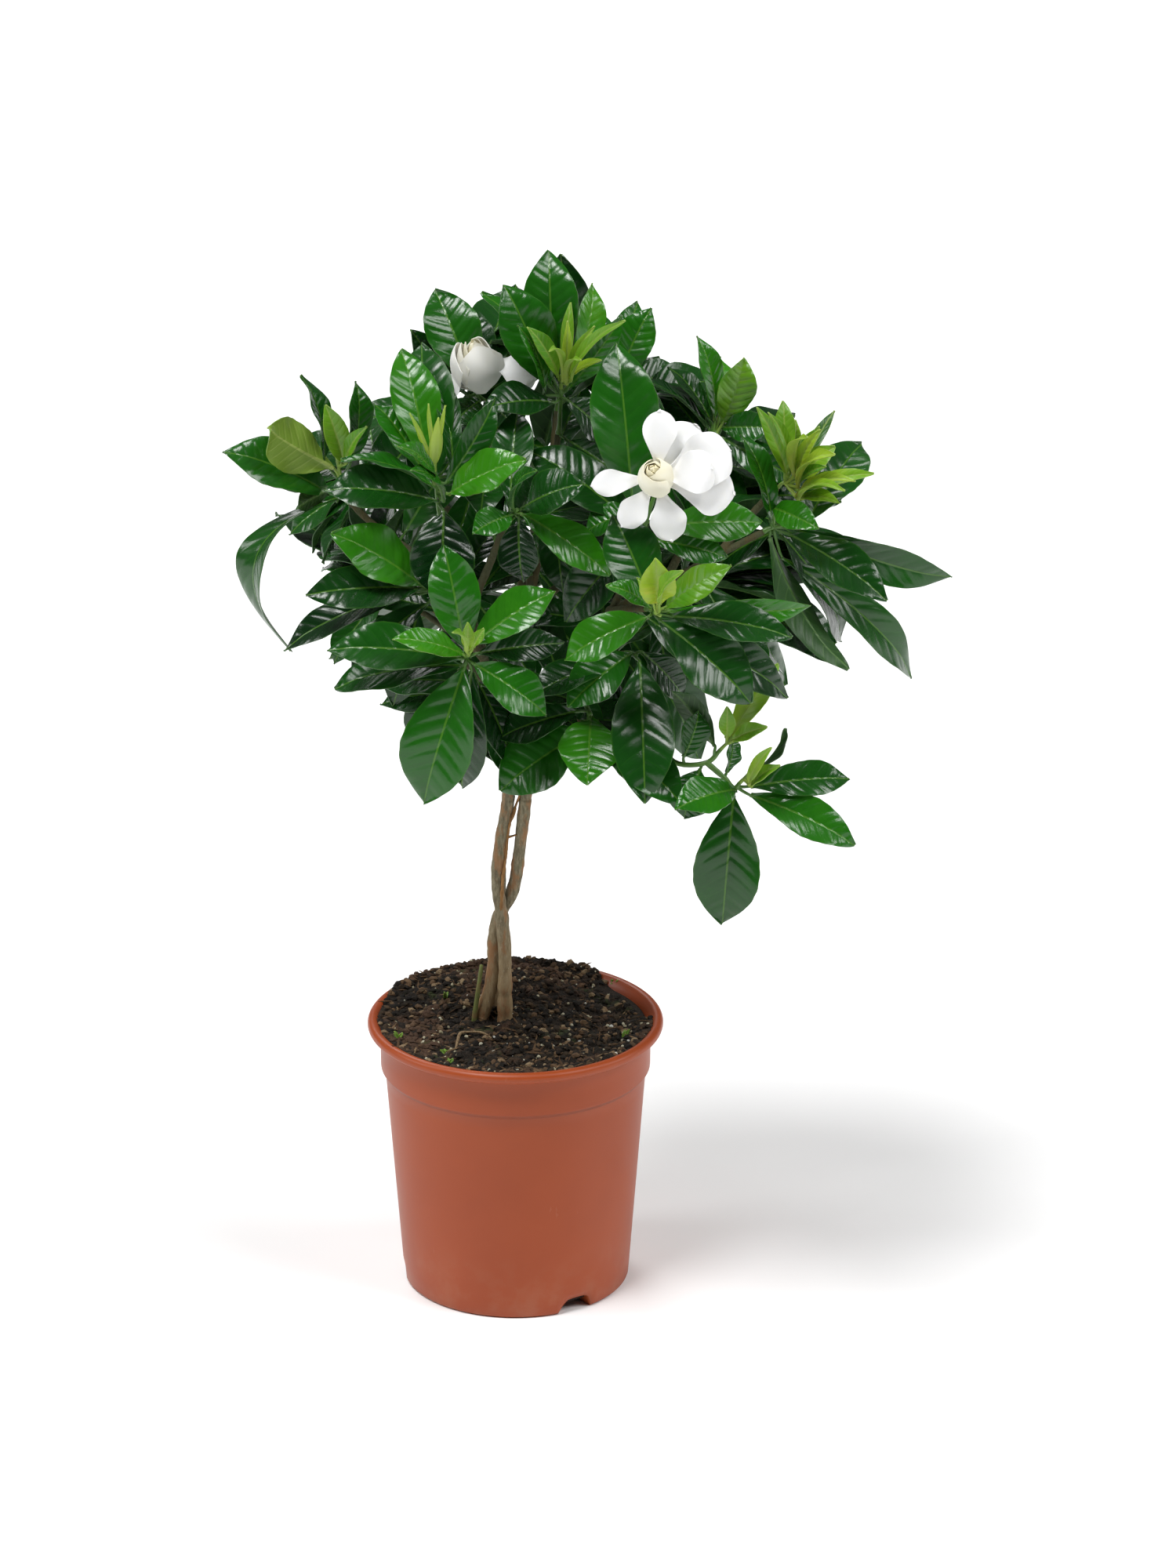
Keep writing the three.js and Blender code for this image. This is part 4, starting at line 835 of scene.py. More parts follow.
def bark_paint(at):
    furrows = at.grain(700, 5, 0.65, at.stretched((1, 1, 0.25)))
    patches = at.grain(85, 4, 0.6, at.stretched((1, 1, 0.5)))
    rust = at.grain(130, 5, 0.6, at.stretched((1, 1, 0.35)))
    lenticels = 1 - at.cells(420, "F1", at.stretched((1, 1, 0.6))).between(0.1, 0.24)
    height = at.place().parts()[2]
    grey = furrows.ramp((0.28, (0.1, 0.08, 0.05)), (0.5, (0.23, 0.2, 0.125)),
                        (0.75, (0.4, 0.35, 0.24)))
    foot = 1 - height.between(0.16, 0.24)
    pale = (foot * 0.55).mix(grey, (0.48, 0.31, 0.15, 1))
    warm = (rust.between(0.48, 0.6) * 0.8).mix(pale, (0.34, 0.17, 0.075, 1))
    mossy = (patches.between(0.58, 0.72) * 0.5).mix(warm, (0.13, 0.15, 0.055, 1))
    spotted = (lenticels * 0.4).mix(mossy, (0.45, 0.37, 0.25, 1))
    young = height.between(0.3, 0.38) * 0.85
    return {
        "Base Color": young.mix(spotted, (0.045, 0.055, 0.018, 1)),
        "Roughness": 0.72 + furrows * 0.2,
        "Normal": (furrows * 0.8 + lenticels * 0.3).bump(0.0009, 0.9),
    }


def green_bark_paint(at):
    streaks = at.grain(500, 4, 0.6, at.stretched((1, 1, 0.12)))
    blush = at.grain(90, 3)
    green = streaks.ramp((0.3, (0.1, 0.12, 0.03)), (0.7, (0.22, 0.24, 0.07)))
    return {"Base Color": blush.between(0.5, 0.7).mix(green, (0.22, 0.15, 0.06, 1)),
            "Roughness": 0.5 + streaks * 0.2, "Normal": streaks.bump(0.0003)}


bark = finish("young_bark", bark_paint, 0.3)
green_bark = finish("green_bark", green_bark_paint, 0.4)
for wood in STRANDS:
    settle(make_object("braid_" + wood, *stem_shape(wood), [bark]), "bark", "stem_" + wood)
side_stem = smooth([seen(*bend) for bend in SIDE_STEM], 30)
side_shape = tube(side_stem, knobbly(side_stem, np.linspace(1.8, 1.1, 31), 0.1, 0.2), LIMB_SIDES)
settle(make_object("side_shoot", *side_shape, [green_bark]), "green_bark", "stem_side")

# A dry twig no thicker than a match climbs the left stem and crosses to the right one, with the stubs
# of two side twigs. It is brown wood, grown from the stem.
TWIG = [(-8.4, 206, 0.2), (-7.8, 216, 0.5), (-7.2, 227, 2.4), (-5.6, 239, 3.9), (-4.5, 250, 3.6),
        (-2.9, 259, 3.7), (-0.6, 266, 4.4), (2.4, 274, 3.8)]
TWIG_RADIUS = 1.0
TWIG_STUBS = [[(-4.5, 250, 3.6), (-2.2, 250.6, 3.9), (0.4, 251.4, 4.2)],
              [(-2.9, 259, 3.7), (-1, 262.5, 3.4), (0.2, 266.5, 3)]]
STUB_RADIUS = 0.7


def twig_paint(at):
    streaks = at.grain(520, 4, 0.6, at.stretched((1, 1, 0.2)))
    brown = streaks.ramp((0.3, (0.13, 0.06, 0.02)), (0.7, (0.42, 0.22, 0.08)))
    return {"Base Color": brown, "Roughness": 0.65 + streaks * 0.2, "Normal": streaks.bump(0.0003)}


twig_shapes = []
for bends, thick in [(TWIG, TWIG_RADIUS), *[(stub, STUB_RADIUS) for stub in TWIG_STUBS]]:
    way = smooth([seen(*bend) for bend in bends], 8 * len(bends))
    twig_shapes.append(tube(way, knobbly(way, np.linspace(thick, thick * 0.7, len(way)), 0.3, 0.35), 8))
settle(make_object("dry_twig", *merge(twig_shapes), [finish("dry_twig", twig_paint, 0.3)]), "bark")

# The crown is laid out shoot by shoot: each leaf has a base and a tip, as it is seen from the front, and
# its tip goes back or forward until the leaf is clear of all that stands there already.
LEAF_GAP = 4.6
OWN_GAP = 2.6
ROD_STEP = 4
SEAT_GAP = 0.3
SHOOT_TIP_RADIUS = 1.15
TIP_REST = 5
YOUNG_STEM = 10
BUD_STEM = 5
BUD_ROOM = 4.4
BUD_DEPTH = -66
ROOT_REST = 3
SHORTEST_STALK = 3
STALK = 4
LEAF_FOLD = 0.28
YOUNG_FOLD = 0.45
BASE_SHARE = 0.25
TIP_SHIFTS = (0, -7, 7, -14, 14, -22, 22, -31, 31, -41, 41)
# A leaf is its green from 0, dark, to 9, bright, as it showed: partly the leaf's own green and partly
# painted light and shade;
# then [across, up] of its base and of its tip, its width, how far its tip stands behind its base, its
# roll and its arch. What it leaves out is as usual.
USUAL_BEND = (-8, 0, 0.08)
SHOOTS = {
    "far_left": {
        "depth": -12, "end": (-100, 457),
        "leaves": [
            (9, -104, 461, -142, 483, 30, -26, 160), (3, -109, 465, -121, 514, 21, 12, 62),
            (4, -94, 464, -90, 510, 18, 12, 48), (4, -106, 446, -166, 471, 30, -12, 5),
            (5, -104, 450, -125, 438, 12, -16, 140), (3, -101, 444, -131, 357, 30, -20, 52, 0.4)],
        "young": [(7, -98, 463, -108, 496, 14, -12), (6, -97, 463, -86, 484, 9, -4)],
    },
    "left_mid": {
        "depth": -72, "end": (-50, 393),
        "leaves": [
            (6, -54, 394, -104, 424, 31, -12, 0), (1, -54, 389, -92, 393, 22, 14, 10),
            (1, -54, 392, -119, 389, 26, -24, -8), (0, -58, 391, -133, 358, 20, 6, 10)],
    },
    "left_bud": {
        "depth": -62, "end": (-46, 459),
        "leaves": [
            (6, -50, 462, -65, 529, 27, 8, 8), (3, -36, 457, -45, 516, 15, 16, 30),
            (5, -53, 458, -80, 498, 20, 8, 20), (6, -46, 452, -65, 474, 15, -18, 0),
            (2, -44, 442, -109, 449, 29, -10, 5), (4, -46, 450, -99, 467, 20, 10, 48),
            (5, -41, 442, -58, 461, 13, -28, 0), (7, -38, 446, 5, 466, 25, -12, 0),
            (3, -40, 452, -11, 500, 17, 12, 35), (0, -41, 436, -42, 386, 36, -14, 0)],
    },
    "front_low_left": {
        "depth": -100, "end": (-27, 354),
        "leaves": [
            (3, -31, 352, -107, 358, 28, -6, 0), (7, -29, 354, -69, 364, 16, -24, 0),
            (5, -29, 357, -41, 417, 28, 10, 0), (6, -24, 360, 22, 391, 25, 4, 0),
            (1, -22, 355, 28, 361, 18, 14, 15), (3, -30, 348, -104, 336, 25, 12, 10),
            (4, -29, 347, -53, 269, 40, -12, 0), (1, -25, 346, -31, 277, 26, 18, 0),
            (5, -24, 349, 18, 320, 26, -8, 0)],
        "young": [(8, -27, 357, -27, 372, 7, -8), (7, -26, 357, -18, 369, 6, -10),
                  (7, -28, 357, -35, 368, 6, -10)],
    },
    "centre_mid": {
        "depth": -72, "end": (1, 437),
        "leaves": [
            (2, 4, 438, 38, 452, 27, -16, 0), (6, 3, 435, 54, 400, 23, -14, 0),
            (0, 2, 432, 4, 396, 24, -10, 20), (3, -2, 439, 10, 460, 14, -22, 0),
            (5, -2, 434, -24, 424, 18, -20, 0)],
    },
    "centre_hang": {
        "depth": -72, "end": (43, 320),
        "leaves": [
            (6, 43, 318, 41, 281, 34, -38, 0), (4, 41, 311, -9, 277, 37, -10, 0),
            (3, 48, 310, 95, 270, 29, -12, 0), (1, 36, 322, -10, 307, 23, 6, 0)],
    },
    "centre_low": {
        "depth": -62, "end": (69, 354),
        "leaves": [(4, 66, 355, 30, 325, 27, -22, 0), (2, 71, 350, 74, 270, 35, -16, 0),
                   (1, 72, 356, 96, 330, 20, 12, 0)],
    },
    "front_low_right": {
        "depth": -105, "end": (80, 378),
        "leaves": [
            (2, 82, 374, 135, 327, 35, -14, 0), (2, 88, 376, 158, 365, 23, -6, 0),
            (1, 86, 370, 157, 330, 26, 20, 0), (8, 85, 381, 122, 405, 18, -20, 15),
            (6, 86, 379, 169, 381, 15, 14, 40), (3, 78, 382, 56, 434, 31, 12, 0),
            (6, 76, 376, 28, 352, 25, -8, 0), (6, 77, 381, 53, 394, 13, -24, 0)],
        "young": [(9, 81, 383, 80, 408, 20, -18), (7, 82, 383, 94, 402, 10, -6),
                  (8, 79, 383, 70, 398, 7, -8)],
    },
    "dangling": {
        "depth": -92, "bends": [(93, 292), (110, 293)], "end": (117, 300),
        "fork": [(109, 292.7), (119, 284), (125, 278), (128, 281)],
        "leaves": [
            (4, 114, 302, 90, 334, 15, 6, 140), (3, 96, 296, 105, 322, 18, 16, 40),
            (3, 107, 290, 96, 261, 26, -8, 0), (5, 126, 277, 92, 267, 24, -14, 0),
            (3, 123, 276, 118, 200, 37, -8, 0), (5, 134, 274, 194, 246, 24, -10, 0),
            (3, 134, 279, 191, 284, 21, 12, 8), (3, 133, 284, 155, 311, 16, 16, 110),
            (4, 121, 284, 124, 308, 14, 14, 60)],
        "young": [(7, 120, 304, 121, 324, 9, -8), (7, 121, 303, 143, 313, 10, -14),
                  (8, 122, 306, 150, 349, 15, 4)],
        "young_fork": [(8, 133, 280, 145, 301, 7, -6), (7, 134, 279, 150, 291, 8, -12)],
    },
    "right_low": {
        "depth": -22, "end": (152, 428),
        "leaves": [
            (2, 156, 423, 212, 386, 26, -30, 0), (3, 160, 426, 249, 397, 23, 6, 48),
            (3, 145, 421, 188, 345, 24, -14, 150), (3, 152, 410, 229, 341, 24, 34, 0, 0.1),
            (1, 147, 424, 113, 402, 22, 12, 0), (3, 166, 430, 198, 476, 30, 50, 0),
            (4, 146, 430, 130, 480, 19, 14, 40), (6, 147, 438, 172, 427, 17, -34, 20)],
    },
    "right_back": {
        "depth": 40, "end": (114, 482),
        "leaves": [
            (1, 110, 484, 72, 512, 15, -6, 50), (2, 112, 486, 88, 519, 16, 10, 35),
            (6, 114, 488, 105, 536, 17, 2, 35), (7, 116, 488, 118, 524, 18, 18, 45),
            (8, 118, 486, 131, 523, 22, -2, 30), (4, 118, 484, 146, 484, 18, -14, 25),
            (3, 118, 478, 163, 453, 19, -24, 25)],
    },
    "bloom_open": {
        "depth": -70, "bends": [(75, 432)], "end": (80, 447),
        "leaves": [
            (5, 70, 436, 39, 424, 21, -16, 15), (1, 68, 420, 28, 373, 28, -2, 0),
            (4, 67, 439, 58, 532, 38, 28, 0), (6, 82, 428, 141, 430, 23, 12, 15),
            (5, 78, 420, 121, 410, 18, 0, 8)],
    },
    "bloom_half": {
        "depth": 12, "end": (-22, 504),
        "leaves": [
            (2, -20, 499, -37, 484, 20, -26, 0), (3, -26, 502, -64, 516, 15, -4, 45),
            (4, -25, 503, -46, 563, 31, 24, 0), (2, -18, 500, 0, 484, 20, -16, 0)],
    },
    "top": {
        "depth": -8, "end": (26, 506),
        "leaves": [
            (5, 22, 506, -18, 562, 21, 14, 35), (4, 19, 508, -6, 565, 31, 6, 0),
            (4, 21, 513, 19, 585, 31, 20, 0), (7, 33, 511, 45, 566, 18, 24, 35),
            (1, 22, 498, -18, 495, 24, -16, 10), (5, 17, 502, 3, 542, 15, -8, 35),
            (5, 30, 506, 61, 547, 15, -8, 35), (1, 29, 500, 52, 478, 24, 14, 0)],
        "young": [(6, 27, 511, 8, 541, 11, -18), (7, 28, 512, 31, 555, 7, 4),
                  (9, 29, 511, 48, 523, 6, -14), (8, 30, 512, 44, 541, 6, -6),
                  (7, 31, 510, 60, 545, 8, -16)],
    },
    "top_right": {
        "depth": 42, "end": (55, 506),
        "leaves": [
            (5, 58, 510, 77, 552, 24, 4, 0), (4, 54, 510, 70, 556, 18, 26, 10),
            (3, 59, 508, 99, 513, 21, 6, 0), (4, 53, 508, 44, 552, 20, 22, 0)],
    },
}
YOUNG_RIGHT_DEPTH = -12
YOUNG_RIGHT = [
    (7, 155, 456, 139, 495, 10, -4), (7, 154, 462, 153, 499, 12, 8), (5, 157, 458, 164, 479, 10, -14),
    (8, 160, 453, 182, 473, 14, -8), (3, 161, 456, 182, 494, 7, 14), (6, 162, 447, 190, 455, 10, -18),
    (8, 162, 448, 204, 458, 9, -8), (7, 156, 462, 146, 492, 7, -18), (9, 161, 458, 173, 482, 8, -10),
    (8, 162, 443, 184, 442, 9, -22), (6, 160, 450, 176, 462, 8, -24)]
# Back and inner shoots end at (x, y, height over the rim) and carry whorls of leaves by rule.
RULED = {
    "left_inner": (-76, 14, 272), "right_inner": (108, 18, 264), "back_left_low": (-70, 48, 242),
    "back_left": (-82, 60, 314), "back_left_high": (-40, 62, 360), "back_mid_low": (2, 84, 240),
    "back_mid": (13, 100, 302), "back_high": (26, 60, 364), "back_right_low": (76, 72, 246),
    "back_right": (102, 76, 290),
}
WHORLS = (3, 3, 1)
RULED_TRIES = 7
RULED_SHORTEST = 54
RULED_SPREAD = 24
# The outline of the crown as it shows from the front, then the tip, width and depth of each petal.
CROWN = [
    (-118, 400), (-122, 448), (-98, 488), (-70, 500), (-60, 526), (-44, 552), (-4, 556), (20, 574),
    (44, 556), (72, 546), (84, 512), (106, 526), (132, 512), (146, 482), (190, 470), (198, 450),
    (172, 428), (204, 396), (180, 368), (130, 352), (96, 318), (76, 290), (-8, 290), (-44, 300),
    (-88, 346)]
OPEN_PETALS = [
    (83, 494, 19, 4), (104, 485, 26, 14), (123, 471, 32, 2), (125, 445, 28, -2), (90, 419, 21, -8),
    (61, 427, 17, -6), (43, 451, 15, 0), (113, 460, 25, -12)]
HALF_PETALS = [
    (13, 509, 22, -4), (-42, 505, 14, -8), (-36, 534, 22, 4), (-8, 536, 22, 4), (-22, 502, 18, -14),
    (-4, 522, 20, -8), (-22, 538, 22, -6)]
OPEN_CENTRE = seen(81, 455, -92)
HALF_CENTRE = seen(-22, 519, -2)
OPEN_CORE = 9
HALF_CORE = 13
# Room for a leaf is tested at nine rows of five points. Within a spray the two rows at the base are free
# to touch.
CLOUD_BASE = 10
CLOUD_T = np.repeat(np.arange(1, 10) / 9 - 0.02, 5)
CLOUD_S = np.tile(np.arange(-2, 3) * 0.48, 9)


class Blade:
    """A leaf or petal before it has a thickness: where it runs, which way it faces and how it bends."""

    def __init__(self, base, tip, width, facing, arch, fold, roll=0):
        self.base, self.tip, self.width = base, tip, width
        self.arch, self.fold = arch, fold
        self.length = np.linalg.norm(tip - base)
        self.along = (tip - base) / self.length
        flat = unit(facing - self.along * np.dot(facing, self.along))
        turn = math.radians(roll)
        self.normal = flat * math.cos(turn) + np.cross(self.along, flat) * math.sin(turn)
        self.side = np.cross(self.along, self.normal)

    def spread(self, t, across, rise):
        """Points at shares t of the length, `across` to the side and `rise` above."""
        return (self.base + (self.tip - self.base) * t[..., None] + self.side * across[..., None]
                + self.normal * rise[..., None])

    def sample(self, outline):
        half = self.width / 2 * outline(CLOUD_T)
        rise = self.arch * self.length * 4 * CLOUD_T * (1 - CLOUD_T) + self.fold * half * abs(CLOUD_S)
        return self.spread(CLOUD_T, half * CLOUD_S, rise)


def leaf_outline(t):
    """A leaf's width at shares t of its length, where 1 is its widest."""
    return t * (1 - t) ** 0.72 / 0.3106 * (1 - 0.45 * t ** 8)


def petal_outline(t):
    """A petal's width in the same way."""
    return 0.16 + 0.84 * np.sin(math.pi * np.minimum(t, 1) ** 1.25) ** 0.6


class Cloud:
    """Points of something placed already, which later leaves keep clear of."""

    def __init__(self, points, owner, reach=0.0):
        self.points = np.array(points)
        self.owner, self.reach = owner, reach
        self.shoot = owner.split("_", 1)[1]
        self.low = self.points.min(0) - LEAF_GAP - reach
        self.high = self.points.max(0) + LEAF_GAP + reach


placed = []


def place_rod(points, radius, owner):
    """Takes up the room of a round rod of wood."""
    line = []
    for a, b in zip(points, points[1:]):
        steps = max(math.ceil(np.linalg.norm(b - a) / ROD_STEP), 1)
        line += [a + (b - a) * k / steps for k in range(steps)]
    placed.append(Cloud([*line, points[-1]], owner, radius))


def clearance(cloud, share=1.0):
    """How far a leaf is clear of all that stands there, over that share of the wanted gap."""
    least = math.inf
    low, high = cloud.points.min(0), cloud.points.max(0)
    for other in placed:
        if (other.low > high).any() or (other.high < low).any():
            continue
        own = other.owner == cloud.owner
        if own and other.reach > 0:
            continue
        skip = CLOUD_BASE if own else 0
        wanted = OWN_GAP if other.shoot == cloud.shoot else LEAF_GAP
        apart = np.linalg.norm(cloud.points[skip:, None] - other.points[None, skip:], axis=2)
        least = min(least, apart.min() - other.reach - wanted * share)
    return least


def nearest_on(path, point):
    """The nearest place for a root, clear of the shoot's seat and of its tip."""
    span = list(path[1:])
    back = span[-2] - span[-1]
    span[-1] = span[-1] + unit(back) * min(TIP_REST, np.linalg.norm(back) * 0.7)
    best = None
    for a, b in zip(span, span[1:]):
        share = np.clip(np.dot(point - a, b - a) / np.dot(b - a, b - a), 0, 1)
        near = a + (b - a) * share
        if best is None or np.linalg.norm(near - point) < np.linalg.norm(best - point):
            best = near
    return best


def place_leaf(row, depth, paths, owner, young):
    """Puts a leaf of the tables where it has most room, or where it is the first to be clear."""
    tone, a0, b0, a1, b1, width, dy, roll, arch = (*row, *USUAL_BEND[len(row) - 6:])
    start = seen(a0, b0, depth)
    root = min((nearest_on(path, start) for path in paths), key=lambda near: np.linalg.norm(near - start))
    facing = TOWARD * 0.85 + np.array([0, 0, 0.5])
    best = None
    for shift in TIP_SHIFTS:
        tip = seen(a1, b1, depth + dy + shift)
        base = seen(a0, b0, depth + shift * BASE_SHARE)
        if np.linalg.norm(base - root) < SHORTEST_STALK:
            base = root + unit(tip - root) * STALK
        blade = Blade(base, tip, width, facing, arch, YOUNG_FOLD if young else LEAF_FOLD, roll)
        cloud = Cloud(blade.sample(leaf_outline), owner)
        gap = clearance(cloud)
        if best is None or gap > best[0]:
            best = (gap, blade, cloud, root)
        if gap > 0:
            break
    placed.append(best[2])
    leaves[owner].append((best[1], best[3], tone / 9))


def inside_crown(point):
    """Whether a point shows inside the crown's outline."""
    a, b = as_seen(point)[0]
    inside = False
    for (a0, b0), (a1, b1) in zip(CROWN, CROWN[1:] + CROWN[:1]):
        if (b0 > b) != (b1 > b) and a < a0 + (a1 - a0) * (b - b0) / (b1 - b0):
            inside = not inside
    return inside


class Chance:
    """A seeded draw between 0 and 1 that is the same on every machine."""

    def __init__(self, seed):
        self.state = seed

    def __call__(self):
        self.state = self.state * 16807 % 2147483647
        return self.state / 2147483647


draw = Chance(20417)


def onward_path(path, reach):
    """A short stem that grows on from the end of a shoot."""
    heading = unit(path[-1] - path[-2])
    return [path[-1] + heading * step for step in (SEAT_GAP, ROOT_REST, reach)]


def shoot_path(name, ends):
    """A shoot that grows on from the end of its limb."""
    heading = unit(seats[name][-1] - seats[name][-2])
    return [seats[name][-1] + heading * SEAT_GAP, seats[name][-1] + heading * 4, *ends]


def ruled_leaf(shoot, level, k, owner):
    """One leaf of a whorl on a back or inner shoot, if a place for it is free."""
    along = shoot[-1] - shoot[0]
    root = shoot[0] + along * (0.3 + 0.35 * level - 0.04)
    along = unit(along)
    outward = unit(np.array([root[0] - 20, root[1], 0]))
    across = unit(np.cross([0, 0, 1], along))
    other = np.cross(along, across)
    for _ in range(RULED_TRIES):
        turn = math.radians(level * 60 + k * 360 / WHORLS[level] + (draw() - 0.5) * 90)
        wide = math.radians(78 - 16 * level + (draw() - 0.5) * 36)
        length = RULED_SHORTEST + RULED_SPREAD * draw()
        sideways = across * math.cos(turn) + other * math.sin(turn)
        heading = along * math.cos(wide) + sideways * math.sin(wide)
        base = root + heading * 5
        tip = base + heading * length
        facing = outward * 0.5 + np.array([0, 0, 0.85])
        width = length * (0.38 + 0.06 * draw())
        blade = Blade(base, tip, width, facing, arch=0.08, fold=LEAF_FOLD)
        cloud = Cloud(blade.sample(leaf_outline), owner)
        if not inside_crown(tip) or clearance(cloud) <= 0:
            continue
        placed.append(cloud)
        leaves[owner].append((blade, root, 0.1 + 0.35 * (length - RULED_SHORTEST) / RULED_SPREAD))
        return


def young_track(name, path):
    """The stem of a tuft of new growth at the end of a shoot."""
    tracks[name] = [onward_path(path, YOUNG_STEM)]
    place_rod(tracks[name][0], SHOOT_TIP_RADIUS, name)


def calyx_path(path, centre, core):
    """The line of a calyx tube, from the end of its shoot to the core of its bloom."""
    heading = unit(path[-1] - path[-2])
    start = path[-1] + heading * SEAT_GAP
    out = start + heading * 2.5
    return [start, out, centre + unit(out - centre) * (core + SEAT_GAP + 0.2)]


def petal_blades(name, centre, core, rows):
    """The outer petals of a bloom, each from its core to where its tip shows."""
    placed.append(Cloud([centre], name, core + 1))
    blades = []
    for a1, b1, width, dy in rows:
        tip = seen(a1, b1, centre[1] + dy)
        base = centre + unit(tip - centre) * core * 0.75
        blade = Blade(base, tip, width, TOWARD, arch=0.1, fold=0.22)
        placed.append(Cloud(blade.sample(petal_outline), name))
        blades.append(blade)
    return blades


seats, tracks, leaves = {}, {}, {}
for wood in STRANDS:
    place_rod(strand_path(wood), STRAND_RADIUS[wood], "wood_" + wood)
    mine = [(shoot, limb_path(bends)) for stem, shoot, bends in LIMBS if stem == wood]
    for order, (shoot, bends) in enumerate(mine):
        place_rod(bends, FORK_RADIUS if order else STRAND_RADIUS[wood] * 0.93, "wood_" + wood)
        seats[shoot] = bends
for name, spray in SHOOTS.items():
    ends = [seen(a, b, spray["depth"]) for a, b in [*spray.get("bends", []), spray["end"]]]
    paths = [shoot_path(name, ends)]
    if "fork" in spray:
        paths.append([seen(a, b, spray["depth"]) for a, b in spray["fork"]])
    for path in paths:
        place_rod(path, SHOOT_RADIUS, "spray_" + name)
    tracks["spray_" + name] = paths
    if "young" in spray:
        young_track("young_" + name, paths[0])
    if "young_fork" in spray:
        young_track("young_" + name + "_fork", paths[1])
for name, end in RULED.items():
    tracks["spray_" + name] = [shoot_path(name, limb_path([end]))]
    place_rod(tracks["spray_" + name][0], SHOOT_RADIUS, "spray_" + name)
open_blades = petal_blades("bloom_open", OPEN_CENTRE, OPEN_CORE, OPEN_PETALS)
half_blades = petal_blades("bloom_half", HALF_CENTRE, HALF_CORE, HALF_PETALS)
bud_stem = onward_path(tracks["spray_left_bud"][0], BUD_STEM)
bud_tip = seen(-44, 489, BUD_DEPTH)
place_rod([bud_stem[2], bud_tip], BUD_ROOM, "flower_bud")
for name, spray in SHOOTS.items():
    for kind, owner in (("leaves", "spray_" + name), ("young", "young_" + name),
                        ("young_fork", "young_" + name + "_fork")):
        if kind not in spray:
            continue
        young = kind != "leaves"
        leaves[owner] = []
        depth = tracks[owner][0][2][1] if young else spray["depth"]
        for row in spray[kind]:
            place_leaf(row, depth, tracks[owner], owner, young)
tracks["young_right"] = [shoot_path("right_new", [seen(157, 452, YOUNG_RIGHT_DEPTH)])]
leaves["young_right"] = []
place_rod(tracks["young_right"][0], SHOOT_TIP_RADIUS, "young_right")
for row in YOUNG_RIGHT:
    place_leaf(row, YOUNG_RIGHT_DEPTH, tracks["young_right"], "young_right", True)
for name in RULED:
    leaves["spray_" + name] = []
    for level, count in enumerate(WHORLS):
        for k in range(count):
            ruled_leaf(tracks["spray_" + name][0], level, k, "spray_" + name)

# More leaves stand inside the crown, in the shade of the outer ones. Each grows from the nearest limb or
# shoot towards a gap that still shows through the crown, and the one that closes most of it is kept.
FILL_CELL = 4
FILL_DRAWS = 30
FILL_LEAVES = 150
FILL_FIRST = 95
FILL_LAYERS = 4
FILL_LEAST = 14
FILL_SHARE = 0.2
FILL_DEPTHS = (-70, 80)
FILL_FLOOR = 300
FILL_COLUMNS = range(-45, 68)
FILL_ROWS = range(60, 165)
FILL_NEAREST = 16
FILL_FARTHEST = 62
FILL_LENGTHS = (52, 84)
FILL_STALK = 6
FILL_SAMPLES = (44, 18)
# The smallest new leaves, between the others at the tips of two shoots.
SMALL_NEW = {
    "young_top": [
        (9, 29, 513, 30, 544, 5, -4), (9, 31, 513, 43, 538, 5, -10), (8, 29, 509, 36, 524, 5, -20),
        (8, 27, 511, 20, 530, 5, -26)],
    "young_right": [
        (9, 159, 457, 165, 480, 9, -22), (9, 161, 450, 180, 470, 11, -28),
        (9, 160, 445, 192, 455, 8, -30), (8, 161, 443, 186, 450, 7, -34),
        (8, 158, 460, 160, 488, 8, -30), (7, 158, 462, 173, 484, 6, -34)],
}
grow = Chance(5087)


def cells_behind(blade):
    """The cells of the picture whose middles a leaf hides, and its depth at each."""
    rows, columns = FILL_SAMPLES
    t = np.repeat(np.linspace(0.05, 0.94, rows), columns)
    half = blade.width / 2 * leaf_outline(t) * np.tile(np.linspace(-0.88, 0.88, columns), rows)
    points = blade.spread(t, half, blade.arch * blade.length * 4 * t * (1 - t))
    places = as_seen(points) / FILL_CELL
    cells = np.floor(places)
    middle = (np.abs(places - cells - 0.5) < 0.3).all(axis=1)
    return dict(zip(map(tuple, cells[middle].astype(int).tolist()), points[middle, 1]))


def rooting_places():
    """Places on limbs and shoots where a leaf can grow, and the spray that it then belongs to."""
    found = []
    for _, shoot, bends in LIMBS:
        spray = "spray_" + shoot if "spray_" + shoot in leaves else "spray_right_low"
        found += [(p, spray) for p in smooth(limb_path(bends), 8 * len(bends)) if p[2] > FILL_FLOOR]
    for spray, paths in tracks.items():
        if spray.startswith("spray_"):
            found += [(p, spray) for path in paths for p in smooth(path, 9)[:-2]]
    return found


def inner_leaf(target, depth, places, sprays):
    """A leaf that grows from the nearest wood through the target, or None where there is no wood near."""
    aim = seen((target[0] + 0.5) * FILL_CELL, (target[1] + 0.5) * FILL_CELL, depth)
    apart = np.linalg.norm(places - aim, axis=1)
    apart[apart < FILL_NEAREST] = math.inf
    near = int(np.argmin(apart))
    if apart[near] > FILL_FARTHEST:
        return None
    heading = unit(aim - places[near])
    length = float(np.clip(1.9 * (apart[near] - FILL_STALK), *FILL_LENGTHS)) + 6 * grow()
    base = places[near] + heading * FILL_STALK
    facing = TOWARD * (0.2 + 0.6 * grow()) + np.array([0.5 * grow() - 0.25, 0, 0.7])
    width = length * (0.38 + 0.07 * grow())
    blade = Blade(base, base + heading * length, width, facing, arch=0.06, fold=LEAF_FOLD)
    return blade, places[near], sprays[near]


def count_layers(layers, cells):
    """Adds one leaf to each of these cells."""
    for cell in cells:
        layers[cell] = layers.get(cell, 0) + 1


